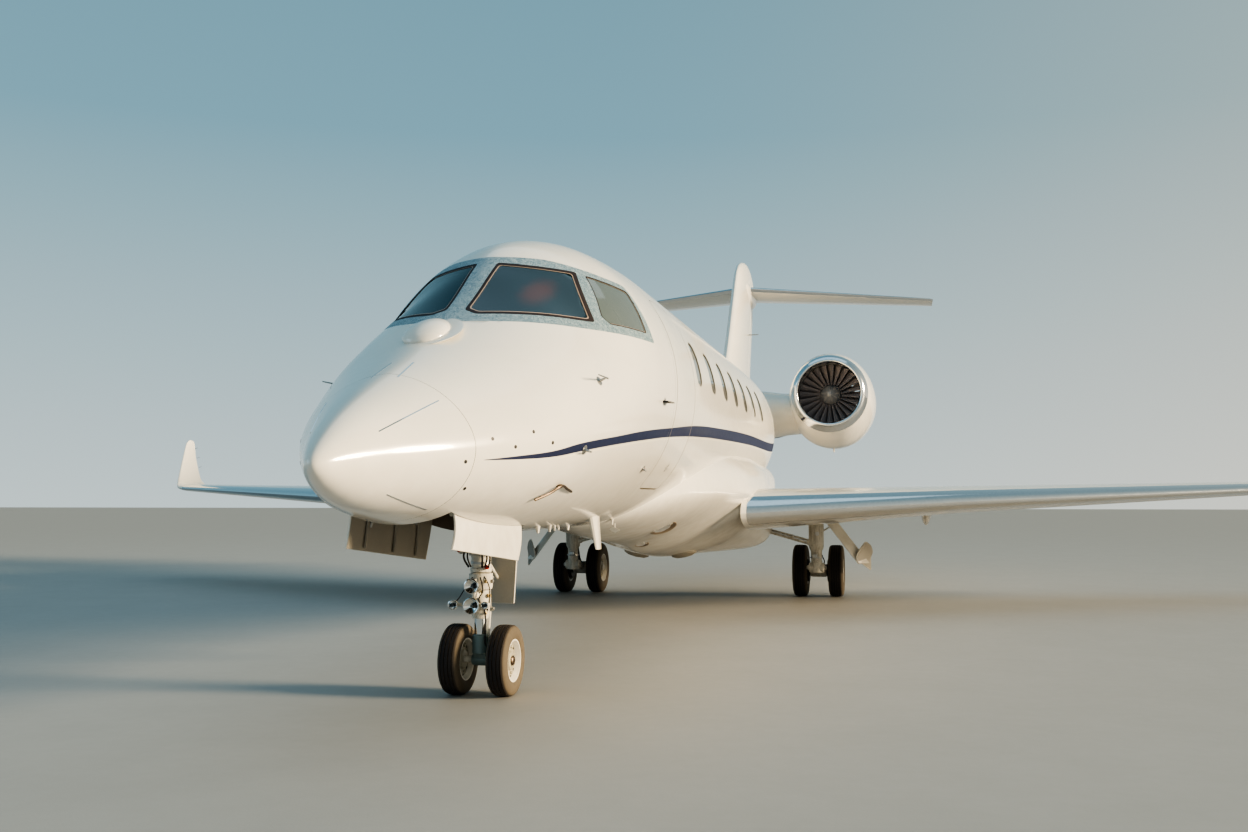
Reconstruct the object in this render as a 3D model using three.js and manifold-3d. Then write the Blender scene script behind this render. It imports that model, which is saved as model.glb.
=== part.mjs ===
// A business jet parked on its gear, at full size, as an assembly of separate pieces.
// Millimetres, +Z up, nose towards -Y, port side +X. The origin is on the ground under its middle.
// Places along the aircraft are stations: distances aft of the nose tip.
import * as THREE from 'three';
import { mergeVertices } from 'three/addons/utils/BufferGeometryUtils.js';
import Module from 'manifold-3d';

const wasm = await Module();
wasm.setup();

// Driving dimensions
const LENGTH = 20000;
const GAP = 0.3;
const MOVING_GAP = 7;
const WALL = 80;
const FUSELAGE_SIDES = 24;
const NACELLE_SIDES = 20;

const RADOME_END = 850;
const COCKPIT_START = 1980;
const COCKPIT_END = 3950;
const CABIN_END = 11500;
const TAIL_END = 18400;
const COCKPIT_FLOOR = 1700;
const CABIN_FLOOR = 1455;
const FLOOR_PANEL = 25;

const DOOR = { front: 4032, rear: 4862, bottom: 1462, top: 3040 };
const WINDOW = { first: 5180, pitch: 837, count: 7, middle: 2610, width: 290, height: 410, corner: 130 };

const NOSE_AXLE = { station: 2527, radius: 247, width: 150, spacing: 351, pin: 26 };
const MAIN_AXLE = { station: 11646, radius: 363.5, width: 212, spacing: 500, track: 3512, pin: 38 };
const WHEEL_SIDES = 18;
const BORE_PLAY = 0.8;
const STEERING_STATION = 2495;
const MAIN_LEG_STATION = 11180;

const ENGINE = { across: 1878, station: 12500, height: 2992 };
const LIP_LENGTH = 150;
const FAN_PLACE = 520;
const FAN_RADIUS = 462;
const FAN_BLADES = 24;
const BLADE_OFFSET = 0.5;

const TAILPLANE_HEIGHT = 5450;

// Fuselage sections: station, half width, top, bottom, height of the greatest width
const FUSELAGE = [
  [0, 0, 1550, 1550, 1550],
  [40, 100, 1655, 1462, 1560],
  [120, 175, 1745, 1405, 1580],
  [400, 350, 1950, 1305, 1620],
  [850, 585, 2130, 1240, 1670],
  [1300, 780, 2300, 1195, 1730],
  [1880, 950, 2562, 1160, 1850],
  [2600, 1045, 3118, 1137, 2050],
  [3000, 1085, 3325, 1132, 2150],
  [3500, 1115, 3440, 1130, 2230],
  [4400, 1135, 3480, 1130, 2300],
  [10600, 1135, 3480, 1130, 2300],
  [12000, 1090, 3480, 1230, 2350],
  [13200, 985, 3480, 1480, 2450],
  [14400, 830, 3480, 1830, 2600],
  [16000, 580, 3470, 2330, 2850],
  [17400, 330, 3450, 2780, 3100],
  [18400, 130, 3420, 3130, 3270],
];
// Stations where the fuselage is given a ring
const RINGS = [
  15, 50, 120, 240, 400, 620, 850, 1075, 1300, 1590, 1880, 2240, 2600, 2800, 3000, 3500, COCKPIT_END, 4400,
  10600, CABIN_END, 12000, 12700, 13500, 14400, 15200, 16000, 17400,
];

// Belly fairing sections: station, half width, bottom, height of the greatest width, top
const FAIRING = [
  [4350, 60, 1150, 1200, 1260],
  [4700, 420, 1110, 1290, 1480],
  [5200, 720, 1010, 1390, 1760],
  [6000, 950, 845, 1440, 1960],
  [7000, 1130, 725, 1450, 2060],
  [8000, 1250, 670, 1450, 2100],
  [9200, 1290, 655, 1450, 2110],
  [10600, 1290, 665, 1450, 2100],
  [11900, 1240, 760, 1480, 2060],
  [13000, 1090, 1020, 1600, 2020],
  [13900, 800, 1370, 1780, 2020],
  [14700, 300, 1790, 1960, 2100],
];

// Wing sections: distance from the centre line, leading edge, trailing edge, thickness, height
const WING = [
  [1160, 7676, 11950, 500, 1215],
  [3600, 9114, 11950, 340, 1345],
  [8978, 12282, 13430, 120, 1565],
];
// Winglet sections: across, height, leading edge, chord, thickness, lean in degrees
const WINGLET = [
  [8978.3, 1565, 12282, 1148, 120, 0],
  [9040, 1582, 12330, 1110, 105, 40],
  [9078, 1630, 12390, 1060, 95, 75],
  [9092, 1700, 12460, 1000, 85, 84],
  [9140, 2390, 13140, 430, 34, 84],
];
// Fin sections: height, leading edge, trailing edge, thickness
const FIN = [
  [3300, 14150, 18000, 300],
  [3840, 14740, 18080, 290],
  [5250, 15880, 18660, 230],
  [5600, 16170, 18800, 215],
  [5780, 16420, 18760, 190],
  [5900, 16750, 18500, 150],
  [5978, 17150, 17950, 70],
];
// Tailplane sections: distance from the centre line, leading edge, trailing edge, thickness
const TAILPLANE = [
  [0, 17000, 18750, 180],
  [3560, 19066, 19977, 85],
  [3626, 19140, 20000, 50],
];
// Nacelle sections: distance aft of the lip, half width, half height, sag of the middle
const NACELLE = [
  [0, 515, 515, 0],
  [28, 560, 560, 0],
  [150, 612, 618, -5],
  [420, 662, 690, -30],
  [900, 695, 742, -58],
  [1600, 690, 735, -58],
  [2200, 640, 668, -30],
  [2800, 560, 574, -10],
  [3150, 505, 510, 0],
];
// The duct through the nacelle: distance aft of the lip, radius
const DUCT = [[-1, 515], [30, 490], [150, 474], [420, 486], [900, 500], [1700, 505], [2400, 480], [3151, 470]];

// Colour, roughness, metalness
const FINISH = {
  paint: [0xf2ecdf, 0.25, 0],
  metal: [0xb9bec2, 0.25, 1],
  frame_metal: [0x9aa6ad, 0.45, 0.8],
  glass: [0x28343c, 0.05, 0],
  trim: [0xd8cdb8, 0.8, 0],
  leather: [0xcbb592, 0.6, 0],
  dark: [0x24262a, 0.7, 0],
  steel: [0x8d9296, 0.35, 0.9],
  gear: [0xe2ddcd, 0.4, 0.1],
  rubber: [0x16161a, 0.9, 0],
};

const jet = new THREE.Group();

// Solids

function solidOf(points, faces) {
  const corner = (i) => new THREE.Vector3(...points[i]);
  let volume = 0;
  for (const [a, b, c] of faces) volume += corner(a).dot(corner(b).cross(corner(c)));
  const out = volume > 0 ? faces : faces.map(([a, b, c]) => [a, c, b]);
  return new wasm.Manifold(new wasm.Mesh({
    numProp: 3,
    vertProperties: new Float32Array(points.flat()),
    triVerts: new Uint32Array(out.flat()),
  }));
}

// A closed body through rings of points; a ring of one point is a pole. Where the rings start at the
// port side, an even body's faces are split alike on both sides, so that a mirrored neighbour fits.
function loft(rings, even = false) {
  const points = rings.flat();
  const faces = [];
  let start = 0;
  rings.forEach((ring, i) => {
    const next = rings[i + 1];
    const count = ring.length;
    if (next) {
      const after = start + count;
      const sides = Math.max(count, next.length);
      const at = (base, size, j) => base + (size > 1 ? j % size : 0);
      for (let j = 0; j < sides; j++) {
        const [a, b] = [at(start, count, j), at(start, count, j + 1)];
        const [c, d] = [at(after, next.length, j + 1), at(after, next.length, j)];
        const starboard = even && j >= sides / 4 && j < sides * 3 / 4;
        if (a === b) faces.push([a, c, d]);
        else if (c === d) faces.push([a, b, c]);
        else if (starboard) faces.push([a, b, d], [b, c, d]);
        else faces.push([a, b, c], [a, c, d]);
      }
    }
    if (count > 1 && (i === 0 || !next)) {
      const middle = points.length;
      points.push(ring.reduce((sum, p) => sum.map((v, k) => v + p[k] / count), [0, 0, 0]));
      for (let j = 0; j < count; j++) {
        const [a, b] = [start + j, start + (j + 1) % count];
        faces.push(i === 0 ? [middle, b, a] : [middle, a, b]);
      }
    }
    start += count;
  });
  return solidOf(points, faces);
}

function fromGeometry(geometry) {
  geometry.deleteAttribute('normal');
  geometry.deleteAttribute('uv');
  const merged = mergeVertices(geometry, 0.001);
  return new wasm.Manifold(new wasm.Mesh({
    numProp: 3,
    vertProperties: new Float32Array(merged.attributes.position.array),
    triVerts: new Uint32Array(merged.index.array),
  }));
}

const station = (s) => s - LENGTH / 2;

function box(x0, x1, s0, s1, z0, z1) {
  const geometry = new THREE.BoxGeometry(x1 - x0, s1 - s0, z1 - z0);
  geometry.translate((x0 + x1) / 2, station((s0 + s1) / 2), (z0 + z1) / 2);
  return fromGeometry(geometry);
}

// A round bar or cone between two places given as across, station, height.
function bar(from, to, radius, endRadius = radius, sides = 8) {
  const a = new THREE.Vector3(from[0], station(from[1]), from[2]);
  const b = new THREE.Vector3(to[0], station(to[1]), to[2]);
  const along = b.clone().sub(a);
  const geometry = new THREE.CylinderGeometry(endRadius, radius, along.length(), sides);
  geometry.applyQuaternion(new THREE.Quaternion().setFromUnitVectors(
    new THREE.Vector3(0, 1, 0), along.clone().normalize()));
  const middle = a.add(b).multiplyScalar(0.5);
  geometry.translate(middle.x, middle.y, middle.z);
  return fromGeometry(geometry);
}

// An outline pushed along an axis. Along x it is given as station and height, along y as across and
// height, along z as across and station.
function prism(axis, outline, from, to) {
  const place = {
    x: ([u, v], w) => [w, station(u), v],
    y: ([u, v], w) => [u, station(w), v],
    z: ([u, v], w) => [u, station(v), w],
  }[axis];
  const shape = outline.map(([u, v]) => new THREE.Vector2(u, v));
  const triangles = THREE.ShapeUtils.triangulateShape(shape, []);
  const count = outline.length;
  const points = [from, to].flatMap((w) => outline.map((p) => place(p, w)));
  const faces = [];
  for (const [a, b, c] of triangles) faces.push([a, c, b], [a + count, b + count, c + count]);
  const turned = THREE.ShapeUtils.area(shape) > 0;
  for (let i = 0; i < count; i++) {
    const j = (i + 1) % count;
    const wall = [[i, j, j + count], [i, j + count, i + count]];
    faces.push(...(turned ? wall : wall.map(([a, b, c]) => [a, c, b])));
  }
  return solidOf(points, faces);
}

// The outline moved outwards by a distance, or inwards where it is negative.
function grown(outline, distance) {
  const points = outline.map(([u, v]) => new THREE.Vector2(u, v));
  const side = THREE.ShapeUtils.area(points) > 0 ? 1 : -1;
  return points.map((p, i) => {
    const before = p.clone().sub(points.at(i - 1)).normalize();
    const after = points[(i + 1) % points.length].clone().sub(p).normalize();
    const a = new THREE.Vector2(before.y, -before.x);
    const b = new THREE.Vector2(after.y, -after.x);
    const corner = a.add(b).multiplyScalar(side * distance / (1 + a.dot(b)));
    return [p.x + corner.x, p.y + corner.y];
  });
}

// Four corners given as across, station, height, and the thickness to add to them.
function plate(corners, thickness) {
  const near = corners.map(([x, s, z]) => [x, station(s), z]);
  const far = near.map((p) => p.map((v, k) => v + thickness[k]));
  return loft([near, far]);
}

// A body turned about an axis along x, with one of its flat sides below: profile points are across and radius.
function turnedAcross(profile, s, z, sides) {
  const outline = profile.map(([across, radius]) => new THREE.Vector2(radius, across));
  const geometry = new THREE.LatheGeometry(outline, sides, Math.PI / sides);
  geometry.rotateZ(-Math.PI / 2);
  geometry.translate(0, station(s), z);
  return outwards(geometry);
}

// A body turned about an axis along y: profile points are station and radius.
function turnedAlong(profile, x, z, sides) {
  const outline = profile.map(([s, radius]) => new THREE.Vector2(radius, station(s)));
  const geometry = new THREE.LatheGeometry(outline, sides);
  geometry.translate(x, 0, z);
  return outwards(geometry);
}

// A lathe's faces point inwards where its profile runs the other way.
function outwards(geometry) {
  const position = geometry.attributes.position;
  const index = geometry.index;
  const corner = (i) => new THREE.Vector3().fromBufferAttribute(position, index.getX(i));
  let volume = 0;
  for (let i = 0; i < index.count; i += 3) volume += corner(i).dot(corner(i + 1).cross(corner(i + 2)));
  if (volume < 0) {
    for (let i = 0; i < index.count; i += 3) {
      const swap = index.getX(i);
      index.setX(i, index.getX(i + 1));
      index.setX(i + 1, swap);
    }
  }
  return fromGeometry(geometry);
}

function mirrored(solid) {
  const mesh = solid.getMesh();
  const vertices = mesh.vertProperties.map((v, i) => (i % mesh.numProp === 0 ? -v : v));
  const triangles = mesh.triVerts.slice();
  for (let i = 0; i < triangles.length; i += 3) {
    [triangles[i], triangles[i + 1]] = [triangles[i + 1], triangles[i]];
  }
  return new wasm.Manifold(new wasm.Mesh({
    numProp: mesh.numProp, vertProperties: vertices, triVerts: triangles,
  }));
}

const join = (solids) => solids.reduce((sum, solid) => sum.add(solid));

function piece(name, solid, finish) {
  const mesh = solid.getMesh();
  const geometry = new THREE.BufferGeometry();
  geometry.setAttribute('position', new THREE.BufferAttribute(mesh.vertProperties, 3));
  geometry.setIndex(new THREE.BufferAttribute(mesh.triVerts, 1));
  geometry.computeVertexNormals();
  const [color, roughness, metalness] = FINISH[finish];
  const material = new THREE.MeshStandardMaterial({ color, roughness, metalness, flatShading: true });
  const node = new THREE.Mesh(geometry, material);
  node.name = name;
  jet.add(node);
}

// The port piece and its mirror image on the starboard side.
function pair(name, solid, finish) {
  piece(`${name}_port`, solid, finish);
  piece(`${name}_starboard`, mirrored(solid), finish);
}

// Curves

// A column of a table as a smooth curve that never overshoots its rows.
function curve(table, column) {
  const at = table.map((row) => row[0]);
  const value = table.map((row) => row[column]);
  const last = table.length - 1;
  const step = at.slice(1).map((a, i) => a - at[i]);
  const rise = step.map((h, i) => (value[i + 1] - value[i]) / h);
  const slope = value.map((_, i) => {
    if (i === 0) return rise[0];
    if (i === last) return rise[last - 1];
    if (rise[i - 1] * rise[i] <= 0) return 0;
    const [near, far] = [2 * step[i] + step[i - 1], step[i] + 2 * step[i - 1]];
    return (near + far) / (near / rise[i - 1] + far / rise[i]);
  });
  return (s) => {
    let i = 0;
    while (i < last - 1 && s > at[i + 1]) i++;
    const t = Math.min(Math.max((s - at[i]) / step[i], 0), 1);
    const u = 1 - t;
    return value[i] * u * u * (1 + 2 * t) + value[i + 1] * t * t * (3 - 2 * t)
      + step[i] * t * u * (slope[i] * u - slope[i + 1] * t);
  };
}

const curvesOf = (table) => table[0].slice(1).map((_, k) => curve(table, k + 1));
const fuselageAt = curvesOf(FUSELAGE);
const fairingAt = curvesOf(FAIRING);

// A ring round an upright oval with its own height above and below the middle. A power below 1
// makes it boxier.
function ovalRing(s, [width, top, bottom, middle], sides, power = 1) {
  const bent = (v) => Math.sign(v) * Math.abs(v) ** power;
  return Array.from({ length: sides }, (_, i) => {
    const turn = 2 * Math.PI * i / sides;
    const up = Math.sin(turn);
    const rise = up > 0 ? top - middle : middle - bottom;
    return [width * bent(Math.cos(turn)), station(s), middle + rise * bent(up)];
  });
}

// The fuselage between two stations, its skin moved in by an inset.
function fuselage(from, to, inset = 0) {
  const stations = [from, ...RINGS.filter((s) => s > from + 1 && s < to - 1), to];
  return loft(stations.map((s) => {
    if (s === 0) return [[0, station(0), FUSELAGE[0][4]]];
    const [width, top, bottom, middle] = fuselageAt.map((f) => f(s));
    return ovalRing(s, [width - inset, top - inset, bottom + inset, middle], FUSELAGE_SIDES);
  }), true);
}

// Distance from the centre line of the fuselage wall at a station and height.
function wallAcross(s, z, inset = 0) {
  const [width, top, bottom, middle] = fuselageAt.map((f) => f(s));
  const rise = (z > middle ? top - middle : middle - bottom) - inset;
  return (width - inset) * Math.sqrt(1 - ((z - middle) / rise) ** 2);
}

// Half thickness of a wing section at a fraction of its chord, over its full thickness.
function halfThickness(f) {
  return 5 * (0.2969 * Math.sqrt(f) - 0.126 * f - 0.3516 * f ** 2 + 0.2843 * f ** 3 - 0.1015 * f ** 4);
}

const CHORD_FRACTIONS = [0, 0.008, 0.035, 0.1, 0.22, 0.4, 0.6, 0.8, 1];

// A wing section as chord fraction and height over thickness; the upper side is the fuller by camber.
function section(camber) {
  const upper = CHORD_FRACTIONS.map((f) => [f, halfThickness(f) * (1 + camber)]);
  const lower = CHORD_FRACTIONS.slice(1).map((f) => [f, -halfThickness(f) * (1 - camber)]);
  return [...upper.reverse(), ...lower];
}

function wingRing([across, leading, trailing, thickness, height], grow = 0) {
  const chord = trailing - leading;
  return section(0.16).map(([f, h]) => {
    const s = leading - grow + f * (chord + 2 * grow);
    return [across, station(s), height + h * thickness + Math.sign(h) * grow];
  });
}

const wing = (grow = 0) => loft(WING.map((row) => wingRing(row, grow)));

function rowBetween(table, place) {
  const i = Math.max(1, table.findIndex((row) => row[0] >= place));
  const [before, after] = [table[i - 1], table[i]];
  const t = (place - before[0]) / (after[0] - before[0]);
  return before.map((v, k) => v + t * (after[k] - v));
}

// The hinge of a flap or aileron at a distance across: its place, and half the thickness there.
function wingHinge(across, s) {
  const [, leading, trailing, thickness, height] = rowBetween(WING, across);
  const half = halfThickness((s - leading) / (trailing - leading)) * thickness;
  return { place: new THREE.Vector3(across, station(s), height + 0.16 * half), half };
}

function tailHinge(across, s) {
  const [, leading, trailing, thickness] = rowBetween(TAILPLANE, across);
  const half = halfThickness((s - leading) / (trailing - leading)) * thickness;
  return { place: new THREE.Vector3(across, station(s), TAILPLANE_HEIGHT), half };
}

function finHinge(height, s) {
  const [, leading, trailing, thickness] = rowBetween(FIN, height);
  const half = halfThickness((s - leading) / (trailing - leading)) * thickness;
  return { place: new THREE.Vector3(0, station(s), height), half };
}

// What a control surface takes from its wing: a block aft of its hinge and a cone round the hinge,
// both larger by the clearance. The cone's radius is a little over half the thickness.
function hingeBlock(from, to, clearance, reach = 1400, height = 500) {
  const along = to.place.clone().sub(from.place);
  const span = along.length();
  const u = along.clone().normalize();
  const aft = new THREE.Vector3(0, 1, 0);
  const v = aft.clone().sub(u.clone().multiplyScalar(aft.dot(u))).normalize();
  const w = u.clone().cross(v);
  const at = (a, b, c) => from.place.clone().addScaledVector(u, a).addScaledVector(v, b)
    .addScaledVector(w, c).toArray();
  const ends = [-clearance, span + clearance];
  const block = loft(ends.map((a) => [
    at(a, 0, -height), at(a, reach, -height), at(a, reach, height), at(a, 0, height)]));
  const sides = 10;
  const cone = loft(ends.map((a, i) => Array.from({ length: sides }, (_, k) => {
    const turn = 2 * Math.PI * (k + 0.5) / sides;
    const radius = [from, to][i].half * 1.09 + 2 + clearance;
    return at(a, radius * Math.cos(turn), radius * Math.sin(turn));
  })));
  return block.add(cone);
}

// Pins on the hinge's axis at both ends of a control surface, or the larger bores that they turn in.
const PIN = { radius: 10, sides: 8, root: 52, depth: 32 };
const PIN_BORE = { radius: 10.9, sides: 8, root: 52, depth: 33 };
function hingePins([from, to], { radius, sides, root, depth }) {
  const along = to.place.clone().sub(from.place).normalize();
  return join([[from.place, 1], [to.place, -1]].map(([place, side]) => {
    const [start, end] = [-root, depth].map((d) => {
      const [x, y, z] = place.clone().addScaledVector(along, side * d);
      return [x, y + LENGTH / 2, z];
    });
    return bar(start, end, radius, radius, sides);
  }));
}

// Fuselage, cockpit and cabin

const skinGrown = fuselage(600, TAIL_END + 1, -GAP);
const everywhere = (z0, z1) => box(-2000, 2000, 0, LENGTH, z0, z1);
const cockpitSpace = fuselage(COCKPIT_START, COCKPIT_END + 1, WALL).subtract(everywhere(0, COCKPIT_FLOOR));
const cabinSpace = fuselage(COCKPIT_END - 1, CABIN_END + 1, WALL).subtract(everywhere(0, CABIN_FLOOR));

// The bare metal frame round the windshield, seen from the side: station and height
const FRAME_OUTLINE = [
  [1700, 2570], [3380, 2572], [3305, 3006], [2873, 3036], [2700, 3119], [2622, 3136], [1700, 3136],
];
// The front panes seen from the front, across and height, and the side windows seen from the side
const FRONT_PANE = [[45, 2668], [139, 2624], [828, 2612], [581, 3030], [84, 3082]];
const SIDE_PANE = [[2588, 2664], [2634, 2619], [3222, 2631], [3231, 2953], [2832, 3003]];
const FRONT_PANE_DEPTH = [1880, 2900];
const SIDE_PANE_DEPTH = [560, 1300];
const PANE_SINK = 4;
const PANE_THICKNESS = 22;

const frameRegion = prism('x', FRAME_OUTLINE, -1500, 1500);
const noseShell = fuselage(RADOME_END + GAP, COCKPIT_END - GAP / 2).subtract(cockpitSpace);
const frontHole = (grow) => prism('y', grown(FRONT_PANE, grow), ...FRONT_PANE_DEPTH);
const sideHole = (grow) => prism('x', grown(SIDE_PANE, grow), ...SIDE_PANE_DEPTH);
const frontHoles = frontHole(0).add(mirrored(frontHole(0)));
const sideHoles = sideHole(0).add(mirrored(sideHole(0)));

// The nose gear's bay, open below, with its forward doors' hinge lines along its sides
const NOSE_BAY = { half: 345, front: 980, rear: 2960, roof: 1620 };
const noseBay = box(-NOSE_BAY.half, NOSE_BAY.half, NOSE_BAY.front, NOSE_BAY.rear, 900, NOSE_BAY.roof);

piece('radome', fuselage(0, RADOME_END), 'paint');
piece('fuselage_nose', noseShell
  .subtract(prism('x', grown(FRAME_OUTLINE, GAP), -1500, 1500))
  .subtract(noseBay), 'paint');
piece('windshield_frame', noseShell.intersect(frameRegion).subtract(frontHoles).subtract(sideHoles),
  'frame_metal');

const glassLayer = fuselage(1500, 3600, PANE_SINK).subtract(fuselage(1400, 3700, PANE_SINK + PANE_THICKNESS));
pair('windshield', glassLayer.intersect(frontHole(-GAP)), 'glass');
pair('side_window', glassLayer.intersect(sideHole(-GAP)), 'glass');

function windowOutline(index, grow) {
  const middle = WINDOW.first + index * WINDOW.pitch;
  const half = [WINDOW.width / 2 + grow, WINDOW.height / 2 + grow];
  const radius = WINDOW.corner + grow;
  const outline = [];
  for (let corner = 0; corner < 4; corner++) {
    const [su, sv] = [[1, 1], [-1, 1], [-1, -1], [1, -1]][corner];
    for (let k = 0; k <= 2; k++) {
      const turn = (corner + k / 2) * Math.PI / 2;
      outline.push([
        middle + su * (half[0] - radius) + radius * Math.cos(turn),
        WINDOW.middle + sv * (half[1] - radius) + radius * Math.sin(turn),
      ]);
    }
  }
  return outline;
}

const windowNumbers = Array.from({ length: WINDOW.count }, (_, i) => i);
const windowHoles = (grow, from, to) => join(windowNumbers.map(
  (i) => prism('x', windowOutline(i, grow), from, to)));
const doorBlock = (clearance) => box(620 - clearance, 1400, DOOR.front + clearance, DOOR.rear - clearance,
  DOOR.bottom + clearance, DOOR.top - clearance);

// The door turns on a pin along its lower outer corner, whose ends stand in the door frame.
const HINGE_HEIGHT = DOOR.bottom + 3;
const HINGE = { radius: 8, boreRadius: 8.8, groove: 14, reach: 30 };
const hingeAcross = wallAcross((DOOR.front + DOOR.rear) / 2, HINGE_HEIGHT);
const doorHinge = (radius, reach) => bar([hingeAcross, DOOR.front - reach, HINGE_HEIGHT],
  [hingeAcross, DOOR.rear + reach, HINGE_HEIGHT], radius, radius, 10);

const cabinShell = fuselage(COCKPIT_END + GAP / 2, CABIN_END - GAP / 2).subtract(cabinSpace);
piece('fuselage_cabin', cabinShell
  .subtract(windowHoles(0, -1400, -500))
  .subtract(windowHoles(0, 500, 1400))
  .subtract(doorBlock(0))
  .subtract(doorHinge(HINGE.groove, 0))
  .subtract(doorHinge(HINGE.boreRadius, HINGE.reach + GAP)), 'paint');

// Each side's panes stand on one strip along the cabin wall's inner face.
const STRIP = { depth: 10, margin: 60 };
const lastWindow = WINDOW.first + (WINDOW.count - 1) * WINDOW.pitch;
const stripSpace = box(0, 1500, WINDOW.first - WINDOW.width / 2 - STRIP.margin,
  lastWindow + WINDOW.width / 2 + STRIP.margin,
  WINDOW.middle - WINDOW.height / 2 - STRIP.margin, WINDOW.middle + WINDOW.height / 2 + STRIP.margin);
const behindStrip = fuselage(4400, 11000, WALL + GAP + STRIP.depth);
const strip = fuselage(4500, 10900, WALL + GAP).subtract(behindStrip).intersect(stripSpace);
const panes = fuselage(4500, 10900, PANE_SINK * 2).subtract(behindStrip)
  .intersect(windowHoles(-GAP, 500, 1400));
pair('cabin_windows', strip.add(panes), 'glass');

piece('cabin_floor', fuselage(COCKPIT_END + 20, CABIN_END - 20, WALL + 25)
  .intersect(everywhere(CABIN_FLOOR + GAP, CABIN_FLOOR + FLOOR_PANEL)), 'trim');

// The airstair door is a piece of the cabin wall with steps on its inner face. With the door down
// the steps lie level.
const DOOR_CLEARANCE = 5.5;
const DOOR_OPEN = 128;
const STEP = { count: 4, lowest: 1640, rise: 330, depth: 210, thickness: 26 };
function doorStep(index) {
  const z = STEP.lowest + index * STEP.rise;
  const x = wallAcross(4450, z, WALL - 8);
  const turn = THREE.MathUtils.degToRad(DOOR_OPEN);
  const [dx, dz] = [Math.cos(turn), Math.sin(turn)];
  const outline = [[0, 0], [STEP.depth, 0], [STEP.depth, STEP.thickness], [0, STEP.thickness]]
    .map(([along, over]) => [x + along * dx - over * dz, z + along * dz + over * dx]);
  return prism('y', outline, DOOR.front + 90, DOOR.rear - 90);
}
piece('airstair_door', join([
  fuselage(COCKPIT_END, 5200).subtract(cabinSpace).intersect(doorBlock(DOOR_CLEARANCE)),
  ...Array.from({ length: STEP.count }, (_, i) => doorStep(i)),
  doorHinge(HINGE.radius, HINGE.reach),
]), 'paint');

// Cockpit: instrument panel with its shade, and two seats joined by the pedestal between them
const panelOutline = [
  [2110, 2380], [2560, 2540], [2860, 2560], [2880, 2520], [2720, 2480], [2760, 2100], [2990, 2040],
  [2990, 1960], [2700, 1960], [2110, 2000],
];
piece('instrument_panel', prism('x', panelOutline, -1000, 1000)
  .intersect(fuselage(COCKPIT_START + 10, 3600, WALL + GAP)), 'dark');

// A seat's side outline from its front edge and floor: aft distance and height
function seat(x, front, floor, facing, width) {
  const outline = [
    [0, 330], [60, 430], [470, 400], [570, 1030], [650, 1190], [760, 1180], [700, 800], [620, 300],
    [430, 260], [430, 0], [120, 0], [120, 280],
  ].map(([aft, up]) => [front + facing * aft, floor + up]);
  return prism('x', outline, x - width / 2, x + width / 2);
}
const pedestal = box(-330, 330, 3060, 3520, COCKPIT_FLOOR + GAP, COCKPIT_FLOOR + 60)
  .add(box(-110, 110, 2830 + 180, 3500, COCKPIT_FLOOR + GAP, COCKPIT_FLOOR + 420));
piece('cockpit_seats', join([pedestal,
  seat(-480, 3000, COCKPIT_FLOOR + GAP, 1, 470), seat(480, 3000, COCKPIT_FLOOR + GAP, 1, 470),
]).subtract(everywhere(0, COCKPIT_FLOOR + GAP)), 'leather');

// Cabin seats: facing pairs on each side, standing on one floor track
const SEAT_ROWS = [[5500, 1], [7600, -1], [8100, 1], [10200, -1]];
const cabinFloorTop = CABIN_FLOOR + FLOOR_PANEL + GAP;
const cabinSeats = join([
  box(400, 480, 5450, 10300, cabinFloorTop, cabinFloorTop + 20),
  ...SEAT_ROWS.map(([front, facing]) => seat(450, front, cabinFloorTop, facing, 430)),
]);
pair('cabin_seats', cabinSeats, 'leather');

// Engines: cowl, polished lip, fan, and the closed-in engine as a plain block with its exhaust cone

const nacelleAt = curvesOf(NACELLE);
function nacelle(from, to, grow = 0) {
  const stations = [from, ...NACELLE.map((row) => row[0]).filter((d) => d > from && d < to), to];
  return loft(stations.map((d) => {
    const [width, height, sag] = nacelleAt.map((f) => f(d));
    const middle = ENGINE.height + sag;
    return ovalRing(ENGINE.station + d, [width + grow, middle + height + grow, middle - height - grow,
      middle], NACELLE_SIDES).map(([x, y, z]) => [x + ENGINE.across, y, z]);
  }));
}
const alongEngine = (profile, sides = NACELLE_SIDES) => turnedAlong(
  profile.map(([d, r]) => [ENGINE.station + d, r]), ENGINE.across, ENGINE.height, sides);
const duct = alongEngine([[DUCT[0][0], 0], ...DUCT, [DUCT.at(-1)[0], 0]]);
const NACELLE_END = NACELLE.at(-1)[0];
pair('inlet_lip', nacelle(0, LIP_LENGTH).subtract(duct), 'metal');

// Vanes behind the fan carry the engine in its cowl.
const CORE_START = 760;
const core = alongEngine([
  [CORE_START, 0], [CORE_START, 330], [1500, 360], [2350, 320], [2900, 250], [2900, 235], [3300, 40], [3300, 0],
]);
const vanes = Array.from({ length: 6 }, (_, i) => {
  const turn = Math.PI * i / 3;
  const [c, q] = [Math.cos(turn), Math.sin(turn)];
  const at = (r, offset, d) => [
    ENGINE.across + r * c - offset * q, ENGINE.station + d, ENGINE.height + r * q + offset * c];
  const half = 14;
  return plate([at(200, -half, 860), at(540, -half, 860), at(540, half, 860), at(200, half, 860)], [0, 320, 0]);
});
const ductInner = alongEngine([[0, 0], ...DUCT.slice(1).map(([d, r]) => [d, r - GAP]), [3151, 0]]);
pair('engine_core', join([core, ...vanes.map((vane) => vane.intersect(ductInner))]), 'steel');

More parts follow.
